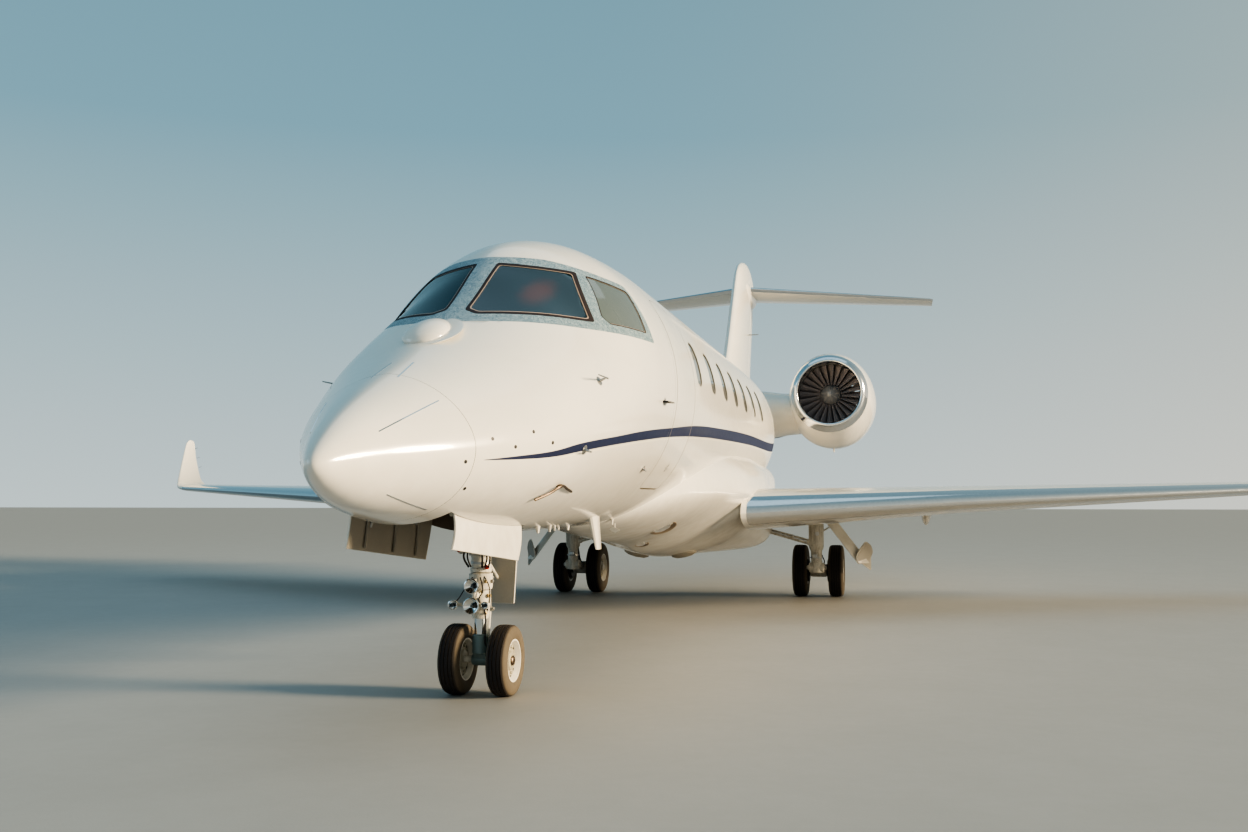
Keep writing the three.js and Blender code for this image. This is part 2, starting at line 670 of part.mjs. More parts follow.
// A blade is a flat plate set across the hub's axis: its radii, half width along, half width round
// and half thickness.
const BLADE = { root: 120, tip: FAN_RADIUS, along: 44, round: 40, half: 6 };
function blade(index) {
  const turn = 2 * Math.PI * (index + BLADE_OFFSET) / FAN_BLADES;
  const outward = new THREE.Vector3(Math.cos(turn), 0, Math.sin(turn));
  const around = new THREE.Vector3(-Math.sin(turn), 0, Math.cos(turn));
  const middle = new THREE.Vector3(ENGINE.across, station(ENGINE.station + FAN_PLACE), ENGINE.height);
  return loft([BLADE.root, BLADE.tip].map((radius) => [
    [-1, -BLADE.half], [1, -BLADE.half], [1, BLADE.half], [-1, BLADE.half],
  ].map(([end, offset]) => middle.clone().addScaledVector(outward, radius)
    .addScaledVector(around, end * BLADE.round + offset)
    .add(new THREE.Vector3(0, end * BLADE.along, 0)).toArray())));
}
const hub = alongEngine([
  [FAN_PLACE - 280, 0], [FAN_PLACE - 250, 45], [FAN_PLACE - 170, 95], [FAN_PLACE - 60, 135],
  [FAN_PLACE + 60, 140], [CORE_START - GAP, 140], [CORE_START - GAP, 0],
], 12);
pair('fan', join([hub, ...Array.from({ length: FAN_BLADES }, (_, i) => blade(i))]), 'dark');

// Aft fuselage with the engines' pylons

// Pylon sections: across, leading edge, trailing edge, thickness, height
const PYLON = [[500, 12700, 16100, 560, 2790], [1500, 12900, 15500, 520, 2800]];
const pylon = loft(PYLON.map(([across, leading, trailing, thickness, height]) => section(0)
  .map(([f, h]) => [across, station(leading + f * (trailing - leading)), height + h * thickness])));
const nacelleRoom = nacelle(-1, NACELLE_END + 1, GAP);
const pylons = pylon.add(mirrored(pylon));
const cowl = nacelle(LIP_LENGTH + GAP, NACELLE_END).subtract(duct);
pair('nacelle', cowl, 'paint');
piece('fuselage_aft', fuselage(CABIN_END + GAP / 2, TAIL_END).add(pylons)
  .subtract(nacelleRoom).subtract(mirrored(nacelleRoom))
  .subtract(box(-3000, 3000, 10000, CABIN_END + GAP / 2, 0, 6000)), 'paint');

// Wings

// The polished leading edge in plan: across and station
const EDGE_FROM = 1400;
const EDGE_TO = 8930;
const leadingAt = (x) => rowBetween(WING, x)[1];
const EDGE_OUTLINE = [
  [EDGE_FROM, leadingAt(EDGE_FROM) - 300], [EDGE_TO, leadingAt(EDGE_TO) - 300],
  [EDGE_TO, leadingAt(EDGE_TO) + 110], [EDGE_FROM, leadingAt(EDGE_FROM) + 260],
];
const edgeRegion = (grow) => prism('z', grown(EDGE_OUTLINE, grow), 0, 3000);

// Control surfaces on the wing: name, then both ends of the hinge as across and station
const WING_SURFACES = [
  ['flap_inboard', [1450, 11400], [3540, 11400]],
  ['flap_outboard', [3760, 11470], [6180, 12110]],
  ['aileron', [6460, 12365], [8560, 13030]],
];
let wingBody = wing().subtract(edgeRegion(GAP));
for (const [name, from, to] of WING_SURFACES) {
  const ends = [wingHinge(...from), wingHinge(...to)];
  pair(name, wing().intersect(hingeBlock(...ends, 0)).subtract(hingePins(ends, PIN_BORE)), 'paint');
  wingBody = wingBody.subtract(hingeBlock(...ends, MOVING_GAP)).add(hingePins(ends, PIN));
}

// The fairing under the wing where the flaps meet
const TRACK = { across: 3235, front: 10500, rear: 11300, bottom: 1030, half: 45 };
wingBody = wingBody.add(loft([
  [TRACK.front, 0.2], [TRACK.front + 150, 0.7], [TRACK.front + 450, 1], [TRACK.rear, 0.75],
].map(([s, size]) => ovalRing(s, [TRACK.half * size, 1330, 1330 - (1330 - TRACK.bottom) * size, 1300], 12)
  .map(([x, y, z]) => [x + TRACK.across, y, z]))));
pair('wing', wingBody, 'paint');
pair('leading_edge', wing().intersect(edgeRegion(0)), 'metal');
pair('winglet', loft(WINGLET.map(([x, z, leading, chord, thickness, lean]) => {
  const turn = THREE.MathUtils.degToRad(lean);
  return section(0.16).map(([f, h]) => [
    x - h * thickness * Math.sin(turn), station(leading + f * chord), z + h * thickness * Math.cos(turn)]);
})), 'paint');

// Belly fairing with the main wheels' wells

const fairing = loft(FAIRING.map(([s, width, bottom, middle, top]) => ovalRing(
  s, [width, top, bottom, middle], 24, 0.82)), true);
const WHEEL_WELL = [[330, 11330], [450, 11210], [1500, 11210], [1500, 12060], [450, 12060], [330, 11940]];
const WELL_ROOF = 1080;
const well = prism('z', WHEEL_WELL, 300, WELL_ROOF);
piece('belly_fairing', fairing
  .subtract(skinGrown)
  .subtract(wing(GAP)).subtract(mirrored(wing(GAP)))
  .subtract(well).subtract(mirrored(well)), 'paint');

// Tail

const finLoft = loft(FIN.map(([height, leading, trailing, thickness]) => section(0)
  .map(([f, h]) => [h * thickness, station(leading + f * (trailing - leading)), height])));
function tailplane(grow = 0) {
  const rows = [...TAILPLANE.slice(1).reverse().map(([x, ...rest]) => [-x, ...rest]), ...TAILPLANE];
  return loft(rows.map(([across, leading, trailing, thickness]) => section(0).map(([f, h]) => [
    across, station(leading - grow + f * (trailing - leading + 2 * grow)),
    TAILPLANE_HEIGHT + h * thickness + Math.sign(h) * grow])));
}
const RUDDER = { bottom: 3630, bottomGap: 30 };
const rudderEnds = [finHinge(3400, 16950), finHinge(5120, 17735)];
const aboveRudderFoot = (z) => everywhere(z, 7000);
const [hingeLow, hingeHigh] = rudderEnds.map((end) => end.place);
const rudderPins = [{ place: hingeLow.clone().lerp(
  hingeHigh, (RUDDER.bottom - hingeLow.z) / (hingeHigh.z - hingeLow.z)) }, rudderEnds[1]];
piece('fin', finLoft.subtract(skinGrown).subtract(tailplane(GAP))
  .subtract(hingeBlock(...rudderEnds, MOVING_GAP, 2000)
    .intersect(aboveRudderFoot(RUDDER.bottom - RUDDER.bottomGap)))
  .add(hingePins(rudderPins, PIN)), 'paint');
piece('rudder', finLoft.intersect(hingeBlock(...rudderEnds, 0, 2000))
  .intersect(aboveRudderFoot(RUDDER.bottom)).subtract(hingePins(rudderPins, PIN_BORE)), 'paint');

const elevatorEnds = [tailHinge(460, 18440), tailHinge(3380, 19640)];
const elevator = tailplane().intersect(hingeBlock(...elevatorEnds, 0)).subtract(hingePins(elevatorEnds, PIN_BORE));
const elevatorRoom = hingeBlock(...elevatorEnds, MOVING_GAP);
pair('elevator', elevator, 'paint');
const elevatorPins = hingePins(elevatorEnds, PIN);
piece('tailplane', tailplane().subtract(elevatorRoom).subtract(mirrored(elevatorRoom))
  .add(elevatorPins).add(mirrored(elevatorPins)), 'paint');

// Nose gear

const barrelBottom = 860;
const legTop = NOSE_BAY.roof - GAP;
piece('nose_gear_leg', join([
  bar([0, STEERING_STATION, barrelBottom], [0, STEERING_STATION, legTop], 68),
  bar([0, STEERING_STATION, 980], [0, STEERING_STATION, 1060], 86),
  bar([-210, STEERING_STATION, 1450], [210, STEERING_STATION, 1450], 45),
  bar([0, 1560, 1560], [0, STEERING_STATION - 30, 1030], 30),
  bar([-120, 1560, 1560], [120, 1560, 1560], 26),
]).subtract(everywhere(legTop, 3000)), 'gear');

const wheelPlace = NOSE_AXLE.spacing / 2;
const axleReach = wheelPlace + 58;
const strut = join([
  bar([0, STEERING_STATION, 300], [0, STEERING_STATION, barrelBottom - GAP], 43),
  bar([0, STEERING_STATION, barrelBottom - 110], [0, STEERING_STATION, barrelBottom - GAP], 84),
  bar([-axleReach, NOSE_AXLE.station, NOSE_AXLE.radius], [axleReach, NOSE_AXLE.station, NOSE_AXLE.radius],
    NOSE_AXLE.pin, NOSE_AXLE.pin, WHEEL_SIDES),
  bar([-62, NOSE_AXLE.station, NOSE_AXLE.radius], [62, NOSE_AXLE.station, NOSE_AXLE.radius], 48),
  bar([0, STEERING_STATION, 330], [0, NOSE_AXLE.station, NOSE_AXLE.radius], 50),
  box(-24, 24, STEERING_STATION + 20, STEERING_STATION + 180, 560, 610),
  bar([0, STEERING_STATION + 60, 800], [0, STEERING_STATION + 170, 590], 22),
  bar([0, STEERING_STATION + 40, 370], [0, STEERING_STATION + 170, 585], 22),
]);
// Two taxi lamps and a beacon on an arm ahead of the steering collar: across, station, height, radius
const LAMPS = [[0, 2330, 905, 52], [0, 2330, 760, 58], [-135, 2330, 765, 34]];
const lamps = join([
  bar([0, 2360, 720], [0, 2360, 940], 22),
  bar([-140, 2350, 765], [0, 2360, 765], 20),
  bar([0, 2360, 800], [0, STEERING_STATION, 800], 26),
  ...LAMPS.map(([x, s, z, radius]) => bar([x, s + 55, z], [x, s - 35, z], radius * 0.6, radius, 12)),
]);
piece('nose_gear_strut', strut.add(lamps), 'steel');

// A tyre on its wheel with a bore for the axle, standing on a flat side. Profile: across over the half
// width, radius.
function wheel(axle, x, rim) {
  const bore = axle.pin + BORE_PLAY;
  const half = axle.width / 2;
  const outer = axle.radius / Math.cos(Math.PI / WHEEL_SIDES);
  const profile = [
    [0.62, bore], [0.62, rim * 0.55], [0.5, rim * 0.93], [0.9, rim],
    [1, rim + (outer - rim) * 0.45], [0.84, rim + (outer - rim) * 0.87],
  ].map(([across, radius]) => [across * half, radius]);
  const other = profile.map(([across, radius]) => [-across, radius]).reverse();
  const ring = [...profile, [0, outer], ...other];
  return turnedAcross([...ring, ring[0]].map(([across, radius]) => [across + x, radius]),
    axle.station, axle.radius, WHEEL_SIDES);
}
const NOSE_RIM = 142;
pair('nose_wheel', wheel(NOSE_AXLE, wheelPlace, NOSE_RIM), 'rubber');

// Forward doors hang open from the bay's edges; the leg's own door stands behind the strut.
const doorRoom = fuselage(600, 4000, -GAP);
pair('nose_gear_door', plate([
  [366, 985, 1420], [366, 2225, 1420], [392, 2195, 962], [392, 935 + 60, 1083]], [-18, 0, 0])
  .subtract(doorRoom), 'paint');
piece('nose_gear_leg_door', join([
  plate([[-150, 2850, 1120], [150, 2850, 1120], [125, 2820, 575], [-125, 2820, 575]], [0, 16, 0]),
  bar([0, STEERING_STATION + 67, 1000], [0, 2850, 1000], 20, 20),
  bar([0, STEERING_STATION + 67, 1000 - 30], [0, 2840, 800], 16, 16),
]).subtract(bar([0, STEERING_STATION, 900], [0, STEERING_STATION, 1300], 86 + GAP)), 'paint');

// Main gear

const legAcross = MAIN_AXLE.track / 2;
const mainLeg = join([
  bar([legAcross, MAIN_LEG_STATION, 360], [legAcross, MAIN_LEG_STATION, 1400], 80, 88, 14),
  bar([legAcross - 105, MAIN_LEG_STATION, 430], [legAcross + 105, MAIN_LEG_STATION, 430], 70),
  bar([legAcross, MAIN_LEG_STATION, 430], [legAcross, MAIN_AXLE.station, MAIN_AXLE.radius], 66, 60),
  bar([legAcross - 340, MAIN_AXLE.station, MAIN_AXLE.radius],
    [legAcross + 340, MAIN_AXLE.station, MAIN_AXLE.radius], MAIN_AXLE.pin, MAIN_AXLE.pin, WHEEL_SIDES),
  bar([legAcross - 120, MAIN_AXLE.station, MAIN_AXLE.radius],
    [legAcross + 120, MAIN_AXLE.station, MAIN_AXLE.radius], 92, 92, 14),
  bar([legAcross, MAIN_AXLE.station - 130, 400], [legAcross, MAIN_LEG_STATION + 60, 960], 44),
  bar([legAcross - 60, MAIN_LEG_STATION, 760], [1225, MAIN_LEG_STATION - 60, 1060], 30, 26),
]);
pair('main_gear_leg', mainLeg.subtract(wing(GAP)).subtract(fairing.subtract(well))
  .subtract(everywhere(1300, 3000)), 'gear');

const MAIN_RIM = 195;
for (const [place, side] of [['inner', -1], ['outer', 1]]) {
  pair(`main_wheel_${place}`, wheel(MAIN_AXLE, legAcross + side * MAIN_AXLE.spacing / 2, MAIN_RIM), 'rubber');
}

// The leg's door hangs from the wing outboard of the wheels and ends in a fish-tail plate.
const fishTail = [[2290, 590], [2345, 690], [2430, 800], [2500, 745], [2530, 650], [2495, 560], [2500, 385], [2400, 470],
  [2320, 520]];
pair('main_gear_door', join([
  plate([[2000, 11020, 1250], [2000, 11330, 1250], [2350, 11290, 530], [2350, 11060, 530]], [20, 0, 8]),
  prism('y', fishTail, 11150, 11172),
]).subtract(wing(GAP)), 'paint');

export default jet;
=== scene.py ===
"""The looks of a business jet that stands on its gear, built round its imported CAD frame.

Metres. Places are given as across (+x is the port side), station (distance aft of the nose tip) and height.
"""
import math

import bmesh
import bpy
from mathutils import Matrix, Vector


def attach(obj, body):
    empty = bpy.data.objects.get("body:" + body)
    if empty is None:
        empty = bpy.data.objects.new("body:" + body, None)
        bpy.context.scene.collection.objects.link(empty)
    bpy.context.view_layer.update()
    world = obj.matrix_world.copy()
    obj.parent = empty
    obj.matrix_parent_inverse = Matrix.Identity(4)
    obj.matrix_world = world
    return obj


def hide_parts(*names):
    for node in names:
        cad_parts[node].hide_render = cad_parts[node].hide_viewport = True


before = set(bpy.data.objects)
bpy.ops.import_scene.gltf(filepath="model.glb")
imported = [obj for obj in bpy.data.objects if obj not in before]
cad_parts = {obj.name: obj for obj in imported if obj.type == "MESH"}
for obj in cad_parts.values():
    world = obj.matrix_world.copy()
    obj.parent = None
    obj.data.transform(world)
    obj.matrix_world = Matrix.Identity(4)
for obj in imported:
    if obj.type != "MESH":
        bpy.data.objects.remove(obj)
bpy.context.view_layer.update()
HALF_LENGTH = 10.0


def at(x, s, z):
    return Vector((x, s - HALF_LENGTH, z))


# Tables, in metres

# station, half width, top, bottom, height of the greatest width, sharpness of the crown
FUSELAGE = [
    (0, 0, 1.55, 1.55, 1.55, 1), (.04, .06, 1.62, 1.485, 1.555, 1), (.12, .112, 1.69, 1.43, 1.57, 1.05),
    (.4, .265, 1.87, 1.328, 1.61, 1.12), (.85, .53, 2.085, 1.25, 1.66, 1.16),
    (1.3, .752, 2.285, 1.197, 1.73, 1.14), (1.88, .94, 2.6, 1.16, 1.85, 1.06),
    (2.2, .99, 2.815, 1.147, 1.93, 1.12), (2.5, 1.03, 3.045, 1.139, 2.02, 1.24),
    (3, 1.085, 3.325, 1.132, 2.15, 1.1), (3.5, 1.115, 3.44, 1.13, 2.23, 1), (4.4, 1.135, 3.48, 1.13, 2.3, 1),
    (10.6, 1.135, 3.48, 1.13, 2.3, 1), (12, 1.09, 3.48, 1.23, 2.35, 1), (13.2, .985, 3.48, 1.48, 2.45, 1),
    (14.4, .83, 3.48, 1.83, 2.6, 1), (16, .58, 3.47, 2.33, 2.85, 1), (17.4, .33, 3.45, 2.78, 3.1, 1),
    (18.4, .13, 3.42, 3.13, 3.27, 1)]
# station, half width, bottom, height of the greatest width, top, sharpness of the keel
FAIRING = [
    (4.35, .06, 1.15, 1.2, 1.26, 1), (4.7, .42, 1.115, 1.29, 1.48, 1.05), (5.2, .72, 1.06, 1.39, 1.76, 1.15),
    (6, .95, .96, 1.44, 1.96, 1.35), (7, 1.13, .87, 1.45, 2.06, 1.45), (8, 1.25, .735, 1.45, 2.1, 1.45),
    (9.2, 1.27, .66, 1.45, 2.11, 1.05), (10.6, 1.2, .66, 1.45, 2.1, .55), (11.2, 1.17, .67, 1.46, 2.09, .4),
    (11.9, 1.1, .72, 1.48, 2.06, .5), (13, 1.0, 1.02, 1.6, 2.02, .82), (13.9, .8, 1.37, 1.78, 2.02, .82),
    (14.7, .3, 1.79, 1.96, 2.1, .82)]
# across, leading edge, trailing edge, thickness, height
WING = [(1.16, 7.676, 11.95, .5, 1.215), (3.6, 9.114, 11.95, .34, 1.345), (8.978, 12.282, 13.43, .12, 1.565)]
# across, height, leading edge, chord, thickness, lean in degrees
WINGLET = [
    (8.9783, 1.565, 12.282, 1.148, .12, 0), (9.04, 1.582, 12.3, 1.05, .1, 40),
    (9.078, 1.63, 12.345, .85, .09, 75), (9.092, 1.7, 12.38, .7, .08, 84), (9.12, 2.1, 12.55, .38, .05, 84),
    (9.135, 2.36, 12.675, .22, .03, 84), (9.138, 2.4, 12.74, .1, .02, 84)]
# height, leading edge, trailing edge, thickness
FIN = [
    (3.3, 14.15, 18, .3), (3.84, 14.74, 18.08, .29), (5.25, 15.88, 18.66, .23), (5.6, 16.17, 18.8, .215),
    (5.78, 16.42, 18.76, .19), (5.9, 16.75, 18.5, .15), (5.978, 17.15, 17.95, .07)]
# across, leading edge, trailing edge, thickness
TAILPLANE = [(0, 17, 18.75, .145), (3.56, 19.066, 19.977, .065), (3.626, 19.14, 20, .04)]
TAILPLANE_HEIGHT = 5.45
# distance aft of the lip, half width, half height, sag of the middle
NACELLE = [
    (0, .488, .488, 0), (.028, .53, .53, 0), (.15, .58, .592, -.01), (.42, .632, .68, -.042),
    (.9, .67, .74, -.072), (1.6, .672, .735, -.06), (2.2, .64, .668, -.03), (2.8, .56, .574, -.01),
    (3.15, .505, .51, 0)]
# distance aft of the lip, radius
DUCT = [(0, .488), (.03, .464), (.15, .456), (.42, .474), (.9, .5), (1.7, .505), (2.4, .48), (3.15, .47)]
ENGINE_ACROSS, ENGINE_STATION, ENGINE_HEIGHT = 1.878, 12.5, 2.992

WALL = .08
RADOME_END, COCKPIT_START, COCKPIT_END, CABIN_END, TAIL_END = .888, 1.98, 3.95, 11.5, 18.4
COCKPIT_FLOOR, CABIN_FLOOR = 1.7, 1.455
DOOR_FRONT, DOOR_REAR, DOOR_BOTTOM, DOOR_TOP = 4.032, 4.862, 1.462, 3.04
WINDOW_FIRST, WINDOW_PITCH, WINDOW_COUNT, WINDOW_HEIGHT = 5.18, .837, 7, 2.61
WINDOW_HALF, WINDOW_TALL, WINDOW_CORNER = .145, .205, .135
PANE_CORNER = .022
BAY_HALF, BAY_TOP = .345, 1.62
SEAM = .0012
SHARP_ANGLE = math.radians(32)
HINGE_GAP = .007
WING_CAMBER = .16
FAIRING_CROWN = .82
BLADE_COUNT = 24

# Windshield frame and side windows as station and height, front panes as across and height
FRAME_OUTLINE = [
    (1.6, 2.53), (1.99, 2.553), (2.57, 2.568), (3.43, 2.575), (3.4, 3.03), (3.19, 3.055), (2.985, 3.1),
    (2.81, 3.148), (1.6, 3.15)]
FRONT_PANE = [(.063, 2.645), (.161, 2.606), (.796, 2.632), (.571, 3.059), (.076, 3.088)]
SIDE_PANE = [(2.735, 2.69), (2.775, 2.636), (3.31, 2.638), (3.37, 2.978), (2.96, 3.04)]


# Curves

def curve(table, column, bend=lambda v: v):
    """A column of a table as a smooth function of its first column that never overshoots its rows."""
    places = [bend(row[0]) for row in table]
    values = [row[column] for row in table]
    last = len(table) - 1
    steps = [b - a for a, b in zip(places, places[1:])]
    rises = [(values[i + 1] - values[i]) / steps[i] for i in range(last)]
    slopes = [rises[0]]
    for i in range(1, last):
        if rises[i - 1] * rises[i] <= 0:
            slopes.append(0)
        else:
            near, far = 2 * steps[i] + steps[i - 1], steps[i] + 2 * steps[i - 1]
            slopes.append((near + far) / (near / rises[i - 1] + far / rises[i]))
    slopes.append(rises[-1])

    def value_at(place):
        place = bend(place)
        i = 0
        while i < last - 1 and place > places[i + 1]:
            i += 1
        t = min(max((place - places[i]) / steps[i], 0), 1)
        u = 1 - t
        return (values[i] * u * u * (1 + 2 * t) + values[i + 1] * t * t * (3 - 2 * t)
                + steps[i] * t * u * (slopes[i] * u - slopes[i + 1] * t))
    return value_at


def softened(function):
    """A function of station averaged over a short stretch, shorter near the nose tip."""
    weights = (1, 4, 6, 4, 1)

    def value_at(s):
        step = min(.07, .12 * s)
        return sum(w * function(s + (i - 2) * step) for i, w in enumerate(weights)) / 16
    return value_at


hull = [softened(curve(FUSELAGE, k, math.sqrt)) for k in range(1, 6)]
belly = [curve(FAIRING, k) for k in range(1, 6)]
cowl = [curve(NACELLE, k, math.sqrt) for k in range(1, 4)]
duct_radius = curve(DUCT, 1, math.sqrt)


def mixed_row(table, place, column=0):
    """The row of a table at a place between two of its rows."""
    i = 1
    while i < len(table) - 1 and table[i][column] < place:
        i += 1
    before, after = table[i - 1], table[i]
    t = (place - before[column]) / (after[column] - before[column])
    return tuple(a + t * (b - a) for a, b in zip(before, after))


def spaced(start, end, step):
    count = max(1, round((end - start) / step))
    return [start + (end - start) * i / count for i in range(count + 1)]


def oval(x, s, half, top, bottom, middle, sides, power=1, crown=None):
    """A ring round an upright oval, boxier where its power, or its crown's own, is below 1."""
    ring = []
    for i in range(sides):
        turn = 2 * math.pi * i / sides
        bend = crown if crown and math.sin(turn) > 0 else power
        across, up = (math.copysign(abs(v) ** bend, v) for v in (math.cos(turn), math.sin(turn)))
        rise = top - middle if up > 0 else middle - bottom
        ring.append(at(x + half * across, s, middle + rise * up))
    return ring


def hull_ring(s, inset=0, sides=96):
    half, top, bottom, middle, crown = (f(s) for f in hull)
    return oval(0, s, half - inset, top - inset, bottom + inset, middle, sides, 1, crown)


def hull_side(s, z, inset=0):
    """The hull's half width, middle, reach up or down and bend at a station and height."""
    half, top, bottom, middle, crown = (f(s) for f in hull)
    reach, bend = (top - middle, 2 / crown) if z > middle else (middle - bottom, 2)
    return max(half - inset, .001), middle, max(reach - inset, .001), bend


def hull_depth(point, inset=0):
    """How far out a point is: 1 on the hull moved in by an inset, less inside it."""
    half, middle, rise, bend = hull_side(point.y + HALF_LENGTH, point.z, inset)
    return (abs(point.x / half) ** bend + abs((point.z - middle) / rise) ** bend) ** (1 / bend)


def on_hull(x, s, z, lift=0):
    """The place on the hull straight out from a point, and the hull's outward direction there."""
    out, middle = hull_depth(at(x, s, z)), hull[3](s)
    place = at(x / out, s, middle + (z - middle) / out)
    size = .002
    slope = Vector([hull_depth(place + step) - hull_depth(place - step) for step in (
        Vector((size, 0, 0)), Vector((0, size, 0)), Vector((0, 0, size)))]).normalized()
    return place + lift * slope, slope


# Meshes

def skin(rings, loop=False, closed=True):
    """A body through rings: a loop joins the last ring to the first, otherwise both ends are capped."""
    rows = rings + rings[:1] if loop else rings
    count = len(rings[0])
    columns = count + 1 if closed else count
    bm = bmesh.new()
    bmesh.ops.create_grid(bm, x_segments=columns - 1, y_segments=len(rows) - 1, size=1)
    points = [ring[j % count] for ring in rows for j in range(columns)]
    for vertex, point in zip(bm.verts, points):
        vertex.co = point
    bmesh.ops.remove_doubles(bm, verts=bm.verts, dist=1e-6)
    if not loop and closed:
        bmesh.ops.holes_fill(bm, edges=[e for e in bm.edges if e.is_boundary], sides=0)
    bmesh.ops.recalc_face_normals(bm, faces=bm.faces)
    return bm


def joined(*parts):
    whole = bmesh.new()
    for part in parts:
        mesh = bpy.data.meshes.new("part")
        part.to_mesh(mesh)
        whole.from_mesh(mesh)
        bpy.data.meshes.remove(mesh)
        part.free()
    return whole


def mirrored(bm):
    twin = bm.copy()
    bmesh.ops.scale(twin, vec=(-1, 1, 1), verts=twin.verts)
    bmesh.ops.reverse_faces(twin, faces=twin.faces)
    return twin


def both(bm):
    return joined(bm, mirrored(bm))


def combined(base, *tools, operation="DIFFERENCE"):
    """The base with each tool cut from it, added to it or kept in common with it."""
    for tool in tools:
        forms = []
        for bm in (base, tool):
            mesh = bpy.data.meshes.new("form")
            bm.to_mesh(mesh)
            form = bpy.data.objects.new("form", mesh)
            bpy.context.scene.collection.objects.link(form)
            forms.append(form)
        modifier = forms[0].modifiers.new("combine", "BOOLEAN")
        modifier.solver, modifier.operation, modifier.object = "EXACT", operation, forms[1]
        result = forms[0].evaluated_get(bpy.context.evaluated_depsgraph_get())
        mixed = bmesh.new()
        mixed.from_mesh(result.to_mesh())
        result.to_mesh_clear()
        for form in forms:
            mesh = form.data
            bpy.data.objects.remove(form)
            bpy.data.meshes.remove(mesh)
        base.free()
        base = mixed
    return base


def prism(outline, offset):
    """An outline of points pushed along an offset."""
    bm = bmesh.new()
    corners = [bmesh.ops.create_vert(bm, co=p)["vert"][0] for p in outline]
    face = bmesh.ops.contextual_create(bm, geom=corners)["faces"]
    moved = bmesh.ops.extrude_face_region(bm, geom=face, use_keep_orig=True)["geom"]
    bmesh.ops.translate(bm, vec=offset, verts=[v for v in moved if isinstance(v, bmesh.types.BMVert)])
    bmesh.ops.recalc_face_normals(bm, faces=bm.faces)
    return bm


def prism_x(outline, low, high):
    return prism([at(low, s, z) for s, z in outline], (high - low, 0, 0))


def prism_y(outline, low, high):
    return prism([at(x, low, z) for x, z in outline], (0, high - low, 0))


def prism_z(outline, low, high):
    return prism([at(x, s, low) for x, s in outline], (0, 0, high - low))


def grown(outline, distance):
    """An outline moved outwards by a distance, or inwards where it is negative."""
    count = len(outline)
    area = sum(outline[i - 1][0] * outline[i][1] - outline[i][0] * outline[i - 1][1] for i in range(count))
    side = math.copysign(distance, area * distance)
    moved = []
    for i in range(count):
        p = Vector(outline[i])
        before = (p - Vector(outline[i - 1])).normalized()
        after = (Vector(outline[(i + 1) % count]) - p).normalized()
        a, b = Vector((before.y, -before.x)), Vector((after.y, -after.x))
        moved.append(p + side * (a + b) / (1 + a.dot(b)))
    return [tuple(p) for p in moved]


def rounded(outline, radius, steps=5):
    """An outline with its corners cut to curves."""
    result = []
    for i, corner in enumerate(outline):
        p = Vector(corner)
        before, after = Vector(outline[i - 1]) - p, Vector(outline[(i + 1) % len(outline)]) - p
        reach = min(radius, before.length * .45, after.length * .45)
        start, end = p + before.normalized() * reach, p + after.normalized() * reach
        for k in range(steps + 1):
            t = k / steps
            result.append(tuple(start * (1 - t) ** 2 + p * 2 * t * (1 - t) + end * t * t))
    return result


def bevelled(bm, width, segments=2, sharp=40):
    edges = [e for e in bm.edges if len(e.link_faces) == 2 and e.calc_face_angle(0) > math.radians(sharp)]
    bmesh.ops.bevel(bm, geom=edges, offset=width, offset_type="OFFSET", segments=segments, profile=.5,
                    affect="EDGES", clamp_overlap=True, material=-1)
    return bm


def block(x0, x1, s0, s1, z0, z1, bevel=.004):
    bm = bmesh.new()
    low, high = at(x0, s0, z0), at(x1, s1, z1)
    bmesh.ops.create_cube(bm, size=1, matrix=Matrix.Translation((low + high) / 2) @ Matrix.Diagonal(
        (*(high - low), 1)))
    return bevelled(bm, bevel) if bevel else bm


def facing(origin, direction):
    """A matrix that stands +z along a direction at an origin."""
    return Matrix.Translation(origin) @ Vector(direction).to_track_quat("Z", "Y").to_matrix().to_4x4()


def turned(profile, origin, direction, sides=32):
    """A body turned about an axis: profile points are along the axis and radius."""
    bm = bmesh.new()
    corners = [bmesh.ops.create_vert(bm, co=(r, 0, a))["vert"][0] for a, r in profile]
    edges = [bm.edges.new(pair) for pair in zip(corners, corners[1:])]
    bmesh.ops.spin(bm, geom=corners + edges, cent=(0, 0, 0), axis=(0, 0, 1), angle=2 * math.pi, steps=sides,
                   use_merge=True, use_normal_flip=False, use_duplicate=False)
    bmesh.ops.remove_doubles(bm, verts=bm.verts, dist=1e-5)
    bmesh.ops.transform(bm, matrix=facing(origin, direction), verts=bm.verts)
    bmesh.ops.recalc_face_normals(bm, faces=bm.faces)
    return bm


def rod(a, b, radius, end=None, sides=20):
    """A round bar between two places with softened ends."""
    along = b - a
    end = radius if end is None else end
    edge = min(.2 * radius, along.length * .3)
    return turned([(0, 0), (0, radius - edge), (edge, radius), (along.length - edge, end),
                   (along.length, end - edge), (along.length, 0)], a, along, sides)


def rods(rows):
    """Round bars, each given as two places, a radius and, where it differs, the far end's radius."""
    return joined(*(rod(at(*a), at(*b), *radii) for a, b, *radii in rows))


def cross_pins(x, rows):
    """Round bars across the aircraft, each given as its half length, station, height and radius."""
    return joined(*(rod(at(x - half, s, z), at(x + half, s, z), radius) for half, s, z, radius in rows))


def studs(profile, spots, sides):
    """Copies of one turned body, given as places and the directions that they face."""
    return joined(*(turned(profile, at(*place), direction, sides) for place, direction in spots))


def pipes(runs):
    """Hoses, each given as its radius and the places that it runs through."""
    return joined(*(pipe([at(*place) for place in places], radius) for radius, *places in runs))


